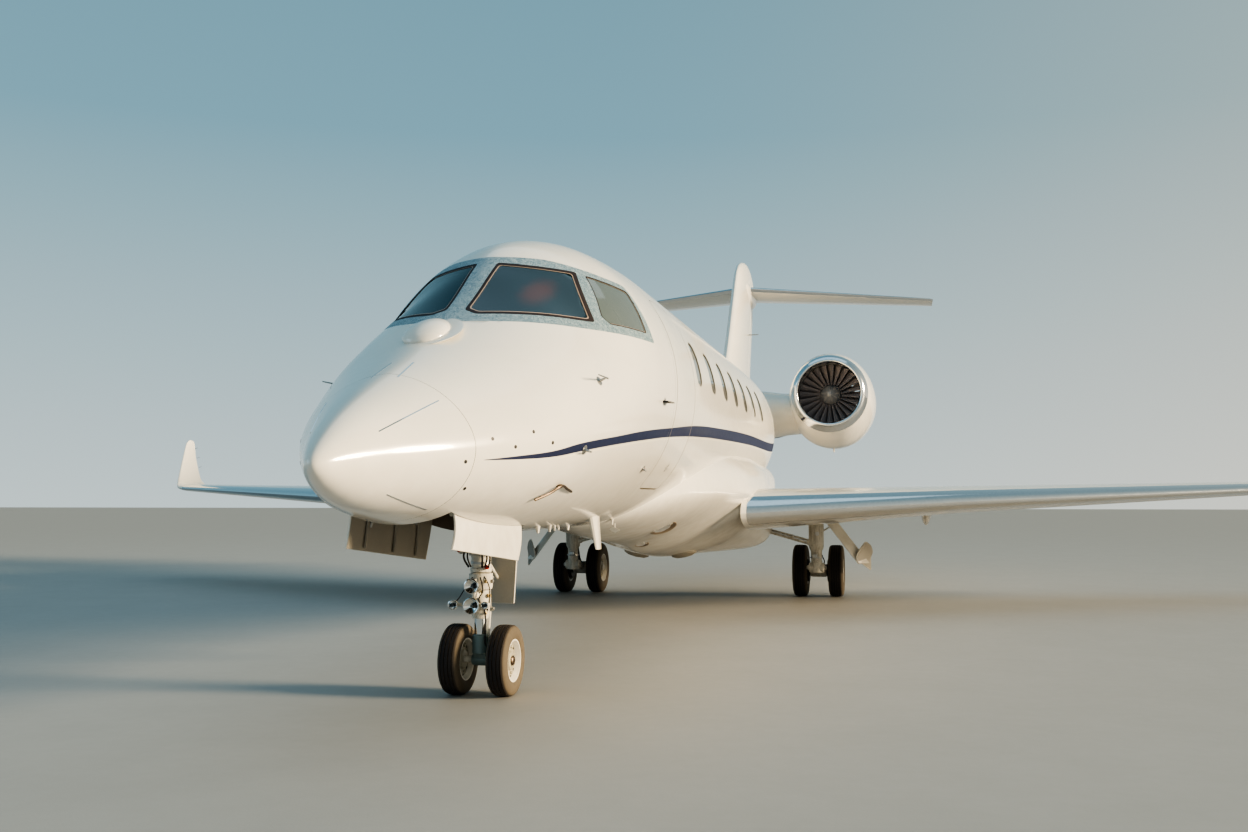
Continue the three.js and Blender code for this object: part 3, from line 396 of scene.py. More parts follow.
def pipe(points, radius, sides=8):
    """A thin pipe or hose along points, bent smoothly through them."""
    path = []
    last = len(points) - 1
    for i in range(last):
        p0, p1, p2, p3 = (points[max(0, min(last, i + k))] for k in (-1, 0, 1, 2))
        for t in (k / 6 for k in range(6)):
            path.append(.5 * (2 * p1 + (p2 - p0) * t + (2 * p0 - 5 * p1 + 4 * p2 - p3) * t * t
                              + (3 * p1 - p0 - 3 * p2 + p3) * t ** 3))
    path.append(points[-1])
    rings = []
    frame_x = (path[1] - path[0]).orthogonal().normalized()
    for i, p in enumerate(path):
        along = (path[min(i + 1, len(path) - 1)] - path[max(i - 1, 0)]).normalized()
        frame_x = (frame_x - along * frame_x.dot(along)).normalized()
        frame_y = along.cross(frame_x)
        turns = [2 * math.pi * k / sides for k in range(sides)]
        rings.append([p + radius * (frame_x * math.cos(a) + frame_y * math.sin(a)) for a in turns])
    return skin(rings)


def ribbon(places, width, height):
    """A raised strip over the hull along places given with the hull's outward direction."""
    rings = []
    for i, (p, out) in enumerate(places):
        along = (places[min(i + 1, len(places) - 1)][0] - places[max(i - 1, 0)][0]).normalized()
        side = out.cross(along).normalized() * width / 2
        up = out * height
        rings.append([p - side - up, p + side - up, p + side * .7 + up, p - side * .7 + up])
    return skin(rings)


def piece(name, bm, finishes, body="airframe", stands_for=()):
    """Makes an object of a mesh, rides it on its body and gives it its materials."""
    bmesh.ops.remove_doubles(bm, verts=bm.verts, dist=1e-6)
    mesh = bpy.data.meshes.new(name)
    bm.to_mesh(mesh)
    bm.free()
    for finish in finishes if isinstance(finishes, (list, tuple)) else [finishes]:
        mesh.materials.append(finish)
    mesh.shade_smooth()
    mesh.set_sharp_from_angle(angle=SHARP_ANGLE)
    thing = bpy.data.objects.new(name, mesh)
    bpy.context.scene.collection.objects.link(thing)
    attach(thing, body)
    if stands_for:
        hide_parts(*([stands_for] if isinstance(stands_for, str) else stands_for))
    return thing


def pair(name, bm, finishes, slot=None, stands_for="", body=""):
    """A port piece and its mirror image, on bodies of their own where a body is named."""
    twin = mirrored(bm)
    for side, form in (("port", bm), ("starboard", twin)):
        piece(f"{name}_{side}", form, finishes, f"{body}_{side}" if body else "airframe",
              [f"{stands_for}_{side}"] if stands_for else ())


def paint_faces(bm, index, test):
    """Gives a material index to each face whose middle passes a test."""
    for face in bm.faces:
        if test(face.calc_center_median(), face.normal):
            face.material_index = index
    return bm


# Materials

def maths(operation):
    """A method that works a sum out in a maths node."""
    def work_out(self, *others):
        return self.finish.node("ShaderNodeMath", dict(enumerate((self, *others))), operation=operation)
    return work_out


class Value:
    """A shader socket that takes part in sums."""
    __add__ = __radd__ = maths("ADD")
    __mul__ = __rmul__ = maths("MULTIPLY")
    __sub__, __truediv__, __pow__ = maths("SUBTRACT"), maths("DIVIDE"), maths("POWER")
    absolute, most = maths("ABSOLUTE"), maths("MAXIMUM")

    def __init__(self, finish, socket):
        self.finish, self.socket = finish, socket

    def __rsub__(self, other):
        return self.finish.node("ShaderNodeMath", {0: other, 1: self}, operation="SUBTRACT")

    def above(self, edge, soft=.001):
        """0 below an edge and 1 above it, with a soft passage."""
        return self.finish.node("ShaderNodeMapRange", {"Value": self, "From Min": edge - soft,
                                "From Max": edge + soft}, interpolation_type="SMOOTHSTEP")

    def below(self, edge, soft=.001):
        return 1 - self.above(edge, soft)

    def between(self, low, high, soft=.001):
        return self.above(low, soft) * self.below(high, soft)

    def near(self, place, width, soft=.0008):
        """1 within a width of a place."""
        return (self - place).absolute().below(width, soft)

    def spread(self, low, high):
        """A value of 0 to 1 spread over a range."""
        return self * (high - low) + low


class Finish:
    """A procedural material: a Principled shader and the nodes that feed it."""

    def __init__(self, name, color, roughness, metallic=0, coat=0, **constants):
        self.material = bpy.data.materials.new(name)
        self.material.use_nodes = True
        self.tree = self.material.node_tree
        self.shader = self.tree.nodes["Principled BSDF"]
        self.put("Base Color", color)
        self.put("Roughness", roughness)
        self.put("Metallic", metallic)
        self.put("Coat Weight", coat)
        for socket, value in constants.items():
            self.put(socket.replace("_", " "), value)
        self.place = self.node("ShaderNodeTexCoord", output="Object")
        axes = (self.node("ShaderNodeSeparateXYZ", {0: self.place}, output=i) for i in range(3))
        self.x, self.y, self.z = axes
        self.s = self.y + HALF_LENGTH

    def fill(self, socket, value):
        if isinstance(value, Value):
            self.tree.links.new(value.socket, socket)
        elif isinstance(value, tuple):
            socket.default_value = (*value, 1) if socket.type == "RGBA" else value
        else:
            socket.default_value = value

    def put(self, name, value):
        self.fill(self.shader.inputs[name], value)

    def node(self, kind, inputs=None, output=0, **settings):
        node = self.tree.nodes.new(kind)
        for name, value in settings.items():
            setattr(node, name, value)
        for name, value in (inputs or {}).items():
            self.fill(node.inputs[name], value)
        return Value(self, node.outputs[output])

    def noise(self, scale, detail=3, roughness=.55, stretch=(1, 1, 1), output=0):
        place = self.node("ShaderNodeMapping", {"Vector": self.place, "Scale": stretch})
        return self.node("ShaderNodeTexNoise", {"Vector": place, "Scale": scale, "Detail": detail,
                                                "Roughness": roughness}, output)

    def mix(self, factor, a, b):
        return self.node("ShaderNodeMix", {0: factor, 6: a, 7: b}, 2, data_type="RGBA")

    def bump(self, height, distance, strength=1):
        self.put("Normal", self.node("ShaderNodeBump", {"Height": height, "Distance": distance,
                                                        "Strength": strength}))

    def along(self, points, value, low, high):
        """A curve through points, from a value to a height between low and high."""
        first, last = points[0][0], points[-1][0]
        node = self.tree.nodes.new("ShaderNodeFloatCurve")
        line = node.mapping.curves[0]
        for i, (u, v) in enumerate(points):
            spot = ((u - first) / (last - first), (v - low) / (high - low))
            if i in (0, len(points) - 1):
                line.points[0 if i == 0 else -1].location = spot
            else:
                line.points.new(*spot)
        node.mapping.update()
        self.fill(node.inputs["Value"], (value - first) / (last - first))
        return Value(self, node.outputs[0]).spread(low, high)


WHITE = (.82, .79, .73)
NAVY = (.004, .012, .06)
STRIPE_START, STRIPE_END = .955, 18.3
SEAM_STATIONS = (7.4, 10.2, 12.45, 14.2, 15.9, 17.1)
# The stripe's upper and lower edges: station and height
STRIPE_TOP = [(.955, 1.6), (1.212, 1.63), (1.49, 1.665), (1.846, 1.734), (2.508, 1.813), (3.122, 1.882),
              (3.977, 1.954), (5.161, 2.042), (6.253, 2.087), (8.482, 2.147), (11.8, 2.19), (13.5, 2.34),
              (15, 2.66), (16.6, 3.02), (18.4, 3.3)]
STRIPE_LOW = [(.955, 1.597), (1.22, 1.61), (1.505, 1.632), (1.881, 1.685), (2.571, 1.76), (3.212, 1.819),
              (4.088, 1.886), (5.302, 1.949), (6.869, 1.997), (9.009, 2.04), (11.8, 2.07), (13.5, 2.2),
              (15, 2.5), (16.6, 2.87), (18.4, 3.2)]


def white_paint(name, striped):
    """Glossy cream paint with faint dirt in blotches, a patchy darker tone low down and, on the hull, the
    stripe and panel seams.
    """
    f = Finish(name, WHITE, .2, coat=.5, Coat_Roughness=.05)
    color = f.mix(f.noise(1.4, 5, .6, (1, .5, 2)).above(.56, .16) * .3, WHITE, (.72, .685, .61))
    # Patchy darker brown tone on everything below about 1.4 m.
    low = (f.z - .4).below(1.0, .5)
    color = f.mix(low * f.noise(9, 4).above(.5, .2) * .3, color, (.55, .5, .42))
    if striped:
        top = f.along(STRIPE_TOP, f.s, 1.5, 3.5)
        bottom = f.along(STRIPE_LOW, f.s, 1.5, 3.5)
        inside = f.s.between(STRIPE_START, STRIPE_END, .01)
        navy = (f.z - bottom).above(0, .0012) * (top - f.z).above(0, .0012) * inside
        color = f.mix(navy, color, NAVY)
        line = (bottom - f.z).between(.008, .019, .0012) * inside * f.s.above(1.6, .05)
        color = f.mix(line * .8, color, (.95, .9, .74))
        seams = f.s.near(COCKPIT_END, .0016)
        for place in SEAM_STATIONS:
            seams = seams.most(f.s.near(place, .0012) * .6)
        color = f.mix(seams * .5, color, (.1, .095, .09))
        posts = f.s.near(DOOR_FRONT + .002, .007).most(f.s.near(DOOR_REAR - .002, .007))
        sill = f.z.near(DOOR_BOTTOM + .002, .006) * f.s.between(DOOR_FRONT + .1, DOOR_REAR - .1, .02)
        door_lines = (posts * f.z.between(1.55, 2.94, .02)).most(sill) * f.x.above(.5, .01)
        color = f.mix(door_lines * .85, color, (.34, .28, .21))
        f.put("Coat Weight", navy * -.46 + .5)
    f.put("Base Color", color)
    gloss = f.noise(18, 3).spread(.16, .26)
    f.put("Roughness", gloss + navy * .36 if striped else gloss)
    f.bump(f.noise(2.2, 2), .0035, .25)
    return f.material


def metal(name, color, roughness, grain=60, stretch=(1, 1, 1), spots=.25):
    f = Finish(name, color, roughness, 1)
    shade = f.noise(grain, 4, .6, stretch)
    dark = tuple(c * .62 for c in color)
    f.put("Base Color", f.mix(shade.above(.55, .2) * spots, color, dark))
    f.put("Roughness", f.noise(grain * .4, 4).spread(roughness * .7, roughness * 1.5))
    f.bump(shade, .0004, .4)
    return f.material


def bare_frame():
    """The windshield's frame: speckled bare sheet with rows of fasteners; its blue-grey tone is partly the
    metal's own grey and partly a painted sky reflection.
    """
    f = Finish("frame_metal", (.3, .4, .45), .45, .35)
    blotches, specks = f.noise(26, 5, .7), f.noise(150, 4, .7)
    # The two blue-grey blotch tones are partly painted sky reflection, on top of the sheet's own grey.
    color = f.mix(blotches.above(.5, .14), (.2, .31, .37), (.38, .49, .53))
    color = f.mix(specks.above(.54, .05) * .75, color, (.07, .12, .15))
    color = f.mix(specks.below(.43, .04) * .7, color, (.66, .7, .7))
    cells = f.node("ShaderNodeTexVoronoi", {"Vector": f.place, "Scale": 34.0, "Randomness": .2})
    heads = cells.below(.12, .03)
    f.put("Base Color", f.mix(heads * .6, color, (.07, .09, .1)))
    f.put("Roughness", blotches.spread(.32, .6))
    f.bump(heads * -1 + blotches * .3, .002, .5)
    return f.material


def glass(name, color, roughness=.03, alpha=.55, coat=1, patch=None):
    """Tinted glass, with a soft patch of what stands behind it where a colour is given for one."""
    f = Finish(name, color, roughness, 0, coat, Coat_Roughness=.02, IOR=1.5)
    haze = f.noise(3, 3)
    f.put("Roughness", haze.spread(roughness, roughness * 2))
    f.put("Alpha", haze.spread(alpha - .04, alpha + .05))
    tone = f.mix(haze, color, tuple(c * .7 for c in color))
    if patch:
        away = ((f.x - .43) * (f.x - .43) * 1.6 + (f.z - 2.83) * (f.z - 2.83)) ** .5
        tone = f.mix((away + f.noise(9, 3) * .06).below(.13, .07), tone, patch)
    f.put("Base Color", tone)
    return f.material


def plain(name, color, roughness, grain=40, depth=.0006, vary=.25, metallic=0, coat=0, stretch=(1, 1, 1)):
    """A plain surface with fine grain and slow changes of tone."""
    f = Finish(name, color, roughness, metallic, coat)
    slow, fine = f.noise(grain * .12, 4, .6), f.noise(grain * 4, 3, .6, stretch)
    worn = f.mix(slow.above(.5, .25) * vary, color, tuple(c * .55 for c in color))
    pale = tuple(min(1, c * 1.5) for c in color)
    f.put("Base Color", f.mix(fine.above(.62, .1) * vary * .5, worn, pale))
    f.put("Roughness", slow.spread(roughness * .8, min(1, roughness * 1.25)))
    f.bump(fine, depth, .5)
    return f.material


def gear_paint():
    """Pale gear paint with grime in streaks and worn spots."""
    f = Finish("gear_paint", (.7, .67, .6), .35, coat=.3)
    streaks = f.noise(22, 5, .65, (1, 1, .25))
    color = f.mix(streaks.above(.52, .12) * .5, (.7, .67, .6), (.3, .27, .22))
    color = f.mix(f.noise(70, 3).above(.66, .03) * .6, color, (.11, .1, .09))
    f.put("Base Color", color)
    f.put("Roughness", streaks.spread(.25, .55))
    f.bump(f.noise(120, 3), .0005, .4)
    return f.material


def tyre_rubber():
    """Near-black tread with dusty brown sidewalls."""
    f = Finish("tyre_rubber", (.02, .019, .018), .8)
    dust = f.noise(28, 5, .65)
    side = f.node("ShaderNodeNewGeometry", output="Normal")
    across = f.node("ShaderNodeSeparateXYZ", {0: side}).absolute()
    color = f.mix(across.above(.55, .3) * dust.spread(.35, .85), (.03, .025, .027), (.19, .155, .11))
    color = f.mix(f.noise(160, 2).above(.66, .05) * .35, color, (.2, .17, .14))
    f.put("Base Color", color)
    f.put("Roughness", dust.spread(.62, .92))
    f.bump(f.noise(260, 3), .0006, .5)
    return f.material


def leather(light, dark):
    f = Finish("seat_leather", light, .45)
    cells = f.node("ShaderNodeTexVoronoi", {"Vector": f.place, "Scale": 260.0})
    color = f.mix(f.noise(5, 3).above(.5, .2) * .4, light, dark)
    f.put("Base Color", color)
    f.put("Roughness", f.noise(30, 3).spread(.35, .6))
    f.bump(cells, .0006, .6)
    return f.material


def lamp(name, color, strength=0.0):
    f = Finish(name, color, .08, 0, 1)
    ribs = f.node("ShaderNodeTexWave", {"Vector": f.place, "Scale": 60.0}, 1)
    f.put("Base Color", f.mix(ribs * .5, color, tuple(c * .5 for c in color)))
    f.put("Roughness", ribs.spread(.05, .18))
    if strength:
        f.put("Emission Color", color)
        f.put("Emission Strength", strength)
    f.bump(ribs, .001, .5)
    return f.material


HULL_PAINT = white_paint("hull_paint", True)
PAINT = white_paint("white_paint", False)
POLISHED = metal("polished_metal", (.78, .8, .82), .14, 30, (1, 1, 1), .12)
CHROME = metal("chrome", (.75, .78, .8), .09, 80, (1, 1, .3), .15)
STEEL = metal("steel", (.5, .5, .49), .32, 70, (1, 1, 1), .4)
BRASS = metal("brown_fitting", (.16, .125, .1), .38, 90, (1, 1, 1), .3)
FRAME_METAL = bare_frame()
SCREEN_GLASS = glass("screen_glass", (.008, .03, .045), .03, .8, .55, (.07, .03, .028))
SIDE_GLASS = glass("side_glass", (.16, .19, .18), .06, .9)
CABIN_GLASS = glass("cabin_glass", (.3, .3, .27), .14, .94)
SEAL = plain("seal_rubber", (.022, .013, .014), .6)
BEAD = plain("pane_bead", (.42, .33, .28), .5)
PANE_RIM = plain("pane_rim", (.2, .19, .17), .5)
LINING = plain("cabin_lining", (.55, .5, .42), .7, 30)
DARK_LINING = plain("dark_lining", (.05, .048, .05), .8, 30)
BAY_PAINT = plain("bay_paint", (.36, .33, .28), .55, 24, .001, .5)
# Painted shade: the dark brown inside the deep nose bay and inside the landing lights' recesses.
BAY_SHADE = plain("bay_shade", (.2, .155, .115), .7, 24, .001, .5)
DARK_METAL = plain("dark_metal", (.055, .055, .06), .45, 50, .0004, .4, .7)
CARBON = plain("blade_metal", (.42, .38, .4), .42, 60, .0003, .25, .1)
SPINNER = plain("spinner", (.34, .33, .34), .5, 60, .0003, .2, .1)
DUCT_LINER = plain("duct_liner", (.3, .29, .28), .5, 60, .0003, .25, .1)
GEAR = gear_paint()
RUBBER = tyre_rubber()
HOSE = plain("hose_rubber", (.02, .02, .022), .5, 80)
SLEEVE_PAINT = plain("sleeve_paint", (.2, .27, .28), .4, 40, .0004, .3, .2)
GOLD = metal("gold_fitting", (.55, .42, .22), .3, 90, (1, 1, 1), .4)
DOOR_INSIDE = plain("door_inside", (.4, .37, .32), .5, 18, .0008, .25)
RED_CAP = plain("red_cap", (.42, .03, .02), .35, 60, .0003, .3, 0, .4)
PANEL_PLASTIC = plain("panel_plastic", (.035, .036, .04), .6, 60)
CARPET = plain("carpet", (.2, .15, .11), .95, 120, .004, .5)
LEATHER = leather((.56, .45, .32), (.38, .29, .19))
COCKPIT_LEATHER = leather((.36, .12, .07), (.22, .07, .045))
WHEEL_PAINT = plain("wheel_paint", (.8, .77, .7), .35, 30, .0004, .4, 0, .3)
WHEEL_DISH = plain("wheel_dish", (.42, .39, .31), .45, 30, .0004, .5, 0, .1)
CLEAR_LAMP = lamp("clear_lamp", (.8, .82, .85))
DARK_LAMP = lamp("dark_lamp", (.05, .055, .06))
RED_LAMP = lamp("red_lamp", (.55, .02, .01))
GREEN_LAMP = lamp("green_lamp", (.01, .35, .12))
EXHAUST = metal("exhaust_metal", (.4, .33, .27), .4, 16, (1, .4, 1), .6)


# Fuselage

def hull_body(start, end, inset=0, step=.08, sides=96):
    return skin([hull_ring(s, inset, sides) for s in spaced(start, end, step)])


def line_inside(bm, depth=.012):
    """The second material on each face beneath the hull's skin."""
    return paint_faces(bm, 1, lambda p, normal: hull_depth(p, depth) < 1)


def whole_slab(low, high):
    return block(-3, 3, 0, 20, low, high, 0)


tip = [RADOME_END * (i / 28) ** 2 for i in range(29)]
tip[-1] -= SEAM
piece("radome_skin", skin([hull_ring(s) for s in tip]), HULL_PAINT, stands_for="radome")

cockpit_space = combined(hull_body(COCKPIT_START, COCKPIT_END + .1, WALL), whole_slab(0, COCKPIT_FLOOR))
nose_bay = block(-BAY_HALF, BAY_HALF, 1.04, 2.42, .9, BAY_TOP, 0)
leg_bay = block(-.17, .17, 2.3, 2.96, .88, 1.61, 0)
frame_prism = prism_x(rounded(FRAME_OUTLINE, .03), -1.5, 1.5)
nose_shell = combined(hull_body(RADOME_END + SEAM, COCKPIT_END - SEAM), cockpit_space)


def front_room(grow=0):
    return prism_y(rounded(grown(FRONT_PANE, grow), PANE_CORNER), 1.87, 3.0)


def side_room(grow=0):
    return prism_x(rounded(grown(SIDE_PANE, grow), PANE_CORNER), .5, 1.3)


def in_bay(p, normal):
    return abs(p.x) < BAY_HALF + .001 and p.z < BAY_TOP + .001 and hull_depth(p, .012) < 1


nose_skin = line_inside(combined(nose_shell.copy(), frame_prism.copy(), nose_bay, leg_bay))
piece("nose_skin", paint_faces(nose_skin, 2, in_bay), [HULL_PAINT, DARK_LINING, BAY_SHADE],
      stands_for="fuselage_nose")
frame_band = combined(nose_shell, frame_prism, operation="INTERSECT")
frame_band = combined(frame_band, both(front_room()), both(side_room()))
piece("windshield_band", line_inside(frame_band), [FRAME_METAL, DARK_LINING],
      stands_for="windshield_frame")


def layer(start, end, outer, inner):
    """A thin layer of the hull between two depths."""
    return combined(hull_body(start, end, outer), hull_body(start - .1, end + .1, inner))


def pane_and_seal(name, start, end, room, width, finish, stands_for):
    """A pane with a dark seal round it and a thin pale bead between them."""
    pane = combined(layer(start, end, .006, .026), room(-width), operation="INTERSECT")
    pair(name, pane, finish, "window_glass", stands_for)
    middle = width * .78
    for part, outer, inner, lift, rubber in (("seal", .001, middle, .001, SEAL),
                                             ("bead", middle, width, .003, BEAD)):
        ring = combined(layer(start, end, lift, .034), room(-outer), operation="INTERSECT")
        pair(f"{name}_{part}", combined(ring, room(-inner)), rubber, "dark_panel")


pane_and_seal("front_pane", 1.8, 3.1, front_room, .026, SCREEN_GLASS, "windshield")
pane_and_seal("side_pane", 2.4, 3.5, side_room, .011, SIDE_GLASS, "side_window")


def window_outline(index, grow=0):
    s = WINDOW_FIRST + index * WINDOW_PITCH
    half, low, high = WINDOW_HALF + grow, *(WINDOW_HEIGHT + sign * (WINDOW_TALL + grow) for sign in (-1, 1))
    return rounded([(s - half, low), (s + half, low), (s + half, high), (s - half, high)],
                   WINDOW_CORNER + grow, 7)


def window_rooms(grow=0, low=.5, high=1.4):
    return joined(*(prism_x(window_outline(i, grow), low, high) for i in range(WINDOW_COUNT)))


DOORWAY = rounded([(DOOR_FRONT, DOOR_BOTTOM), (DOOR_REAR, DOOR_BOTTOM), (DOOR_REAR, DOOR_TOP),
                   (DOOR_FRONT, DOOR_TOP)], .11, 7)
cabin_space = combined(hull_body(COCKPIT_END - .1, CABIN_END + .1, WALL, .3), whole_slab(0, CABIN_FLOOR))
cabin = combined(hull_body(COCKPIT_END + SEAM, CABIN_END - SEAM, 0, .25), cabin_space.copy(),
                 both(window_rooms()), prism_x(DOORWAY, .62, 1.4))
piece("cabin_skin", line_inside(cabin), [HULL_PAINT, LINING],
      stands_for="fuselage_cabin")

WINDOW_STRIP = (4.5, 10.9)
SEAL_WIDTH = .011
window_panes = combined(layer(*WINDOW_STRIP, .008, .016), window_rooms(-SEAL_WIDTH), operation="INTERSECT")
pair("cabin_panes", window_panes, CABIN_GLASS, "window_glass", "cabin_windows")
window_seals = combined(layer(*WINDOW_STRIP, .002, .02), window_rooms(-.0006), operation="INTERSECT")
window_seals = combined(window_seals, window_rooms(-SEAL_WIDTH, .4, 1.5))
pair("cabin_pane_seals", window_seals, PANE_RIM, "dark_panel")


# Airstair door with its steps, rails and handle

DOOR_OPEN = math.radians(128)
STEP_COUNT, STEP_LOWEST, STEP_RISE = 4, 1.64, .33


def wall_across(s, z, inset=0):
    half, middle, rise, bend = hull_side(s, z, inset)
    return half * max(0, 1 - abs((z - middle) / rise) ** bend) ** (1 / bend)


def door_step(z):
    """A step that lies level once the door is open."""
    x = wall_across(4.45, z, WALL - .008)
    dx, dz = math.cos(DOOR_OPEN), math.sin(DOOR_OPEN)
    outline = [(x + a * dx - b * dz, z + a * dz + b * dx)
               for a, b in ((0, 0), (.21, 0), (.21, .026), (0, .026))]
    step = bevelled(prism_y(outline, DOOR_FRONT + .09, DOOR_REAR - .09), .005)
    return paint_faces(step, 1, lambda p, normal: True)


door_skin = combined(combined(hull_body(3.9, 5.1, 0, .1), cabin_space),
                     prism_x(grown(DOORWAY, -.0045), .62, 1.4), operation="INTERSECT")
door_steps = [door_step(STEP_LOWEST + STEP_RISE * i) for i in range(STEP_COUNT)]
piece("airstair_skin", joined(line_inside(door_skin), *door_steps), [HULL_PAINT, LINING], "airstair_door",
      "airstair_door")
handle_at, handle_out = on_hull(.939, 4.523, 1.643)
handle = turned([(-.004, 0), (-.004, .034), (.001, .036), (.0015, .03), (-.0015, .026), (-.0015, 0)],
                handle_at, handle_out, 24)
reach = Vector((0, .024, 0))
lever = rod(handle_at - reach, handle_at + reach, .005)
piece("airstair_handle", joined(handle, lever), STEEL, "airstair_door")


# Aft fuselage, tail and pylons

def half_thickness(f):
    """Half a wing section's height over its thickness at a fraction of its chord."""
    return 5 * (.2969 * math.sqrt(f) - .126 * f - .3516 * f ** 2 + .2843 * f ** 3 - .1015 * f ** 4)


def section(camber=0, count=26):
    """A wing section as chord fraction and height over thickness, from the trailing edge over the top."""
    fractions = [(1 - math.cos(math.pi * i / count)) / 2 for i in range(count + 1)]
    upper = [(f, half_thickness(f) * (1 + camber)) for f in reversed(fractions)]
    return upper + [(f, -half_thickness(f) * (1 - camber)) for f in fractions[1:]]


def level_form(rows, camber=0):
    """A level wing through rows of across, leading edge, trailing edge, thickness and height."""
    return skin([[at(x, front + f * (rear - front), z + h * thickness) for f, h in section(camber)]
                 for x, front, rear, thickness, z in rows])


PYLON_ROWS = [
    (.7, 12.5, 16.4, .78, 2.735), (.96, 12.62, 16.2, .72, 2.735), (1.04, 12.7, 16.05, .69, 2.74),
    (1.1, 12.78, 15.95, .67, 2.745), (1.2, 12.84, 15.8, .66, 2.75), (1.36, 12.88, 15.62, .66, 2.76)]
pylons = both(level_form(PYLON_ROWS))
aft = hull_body(CABIN_END + SEAM, TAIL_END - .06, 0, .12)
tail_end = skin([hull_ring(s, inset) for s, inset in (
    (TAIL_END - .06, 0), (TAIL_END - .03, 0), (TAIL_END, .012), (TAIL_END, .05), (TAIL_END - .1, .055))])
piece("aft_skin", joined(aft, tail_end, pylons), HULL_PAINT, stands_for="fuselage_aft")


# Belly fairing with the main wheels' wells

fairing_rings = []
for s in spaced(4.35, 14.7, .12):
    half, low, middle, top, keel = (f(s) for f in belly)
    fairing_rings.append(oval(0, s, half, top, low, middle, 128, keel, FAIRING_CROWN))
WELL_TOP = 1.08
WELL = rounded([(.33, 11.33), (.45, 11.21), (1.5, 11.21), (1.5, 12.06), (.45, 12.06), (.33, 11.94)], .06)


def in_well(p, normal):
    roof_or_wall = p.z > WELL_TOP - .01 or abs(normal.z) < .2
    return .32 < abs(p.x) < 1.3 and 1.2 < p.y < 2.07 and p.z < WELL_TOP + .001 and roof_or_wall


fairing = combined(skin(fairing_rings), both(prism_z(WELL, .3, WELL_TOP)))
piece("fairing_skin", paint_faces(fairing, 1, in_well), [HULL_PAINT, BAY_PAINT],
      stands_for="belly_fairing")


# Wings with their control surfaces

def hinge_on(table, across, s, height=None, camber=WING_CAMBER):
    """A hinge's place in a wing, and half the wing's thickness there."""
    row = mixed_row(table, across)
    half = half_thickness((s - row[1]) / (row[2] - row[1])) * row[3]
    return at(across, s, (row[4] if height is None else height) + camber * half), half


def hinge_block(ends, clearance, reach=1.4, height=.5):
    """What a control surface takes from its wing: a block aft of the hinge with a round front."""
    (start, near), (end, far) = ends
    span = (end - start).length
    u = (end - start) / span
    v = (Vector((0, 1, 0)) - u * u.y).normalized()
    w = u.cross(v)
    turns = [math.pi * k / 14 for k in range(15)]
    rings = []
    for a, half in ((-clearance, near), (span + clearance, far)):
        radius = half * 1.09 + .002 + clearance
        outline = [(0, -height), (reach, -height), (reach, height), (0, height)]
        outline += [(-radius * math.sin(turn), radius * math.cos(turn)) for turn in turns]
        rings.append([start + u * a + v * b + w * c for b, c in outline])
    return skin(rings)


WING_SPLITS = (1.16, 1.4, 2, 2.8, 3.6, 4.6, 5.6, 6.6, 7.6, 8.978)
EDGE_ROOT, EDGE_TIP = 1.22, 8.93


def wing_form():
    return level_form([mixed_row(WING, x) for x in WING_SPLITS], WING_CAMBER)


def edge_room(grow=0):
    root, tip = mixed_row(WING, EDGE_ROOT)[1], mixed_row(WING, EDGE_TIP)[1]
    return prism_z(grown([(EDGE_ROOT, root - .3), (EDGE_TIP, tip - .3), (EDGE_TIP, tip + .11),
                          (EDGE_ROOT, root + .27)], grow), 0, 3)


WING_SURFACES = [
    ("flap_inboard", (1.45, 11.4), (3.54, 11.4)), ("flap_outboard", (3.76, 11.47), (6.18, 12.11)),
    ("aileron", (6.46, 12.365), (8.56, 13.03))]
wing = combined(wing_form(), edge_room(SEAM))
for name, start, end in WING_SURFACES:
    ends = [hinge_on(WING, *start), hinge_on(WING, *end)]
    surface = combined(wing_form(), hinge_block(ends, 0), operation="INTERSECT")
    pair(name + "_skin", surface, PAINT, "white_paint", name, name)
    wing = combined(wing, hinge_block(ends, HINGE_GAP))

# The fairing over the flaps' track: share of its length and of its full size
CANOE = [(0, .05), (.03, .3), (.1, .58), (.25, .85), (.45, 1), (.7, 1), (.9, .85), (1, .72)]
canoe = skin([oval(3.235, 10.5 + .83 * t, .078 * w, 1.34, 1.34 - .31 * w, 1.3, 24) for t, w in CANOE])
pair("wing_skin", joined(wing, canoe), PAINT, "white_paint", "wing")
pair("edge_skin", combined(wing_form(), edge_room(), operation="INTERSECT"), POLISHED, "polished_metal",
     "leading_edge")

winglet_places = [(i, *row) for i, row in enumerate(WINGLET)]
winglet_curves = [curve(winglet_places, k) for k in range(1, 7)]
winglet_rings = []
for t in spaced(0, len(WINGLET) - 1, .125):
    x, z, leading, chord, thickness, lean = (f(t) for f in winglet_curves)
    turn = math.radians(lean)
    winglet_rings.append([at(x - h * thickness * math.sin(turn), leading + f * chord,
                             z + h * thickness * math.cos(turn)) for f, h in section(WING_CAMBER)])
pair("winglet_skin", skin(winglet_rings), PAINT, "white_paint", "winglet")


# Fin, rudder, tailplane and elevators

def fin_form():
    rows = [curve(FIN, k) for k in (1, 2, 3)]
    rings = []
    for height in spaced(3.3, 5.6, .2) + spaced(5.62, 5.978, .03):
        leading, trailing, thickness = (f(height) for f in rows)
        rings.append([at(h * thickness, leading + f * (trailing - leading), height) for f, h in section()])
    return skin(rings)


def fin_hinge(height, s):
    row = mixed_row(FIN, height)
    return at(0, s, height), half_thickness((s - row[1]) / (row[2] - row[1])) * row[3]


def rudder_room(clearance, low):
    ends = [fin_hinge(3.4, 16.95), fin_hinge(5.12, 17.735)]
    return combined(hinge_block(ends, clearance, 2), whole_slab(low, 7), operation="INTERSECT")


piece("fin_skin", combined(fin_form(), rudder_room(HINGE_GAP, 3.6)), PAINT,
      stands_for="fin")
piece("rudder_skin", combined(fin_form(), rudder_room(0, 3.63), operation="INTERSECT"), PAINT, "rudder",
      "rudder")

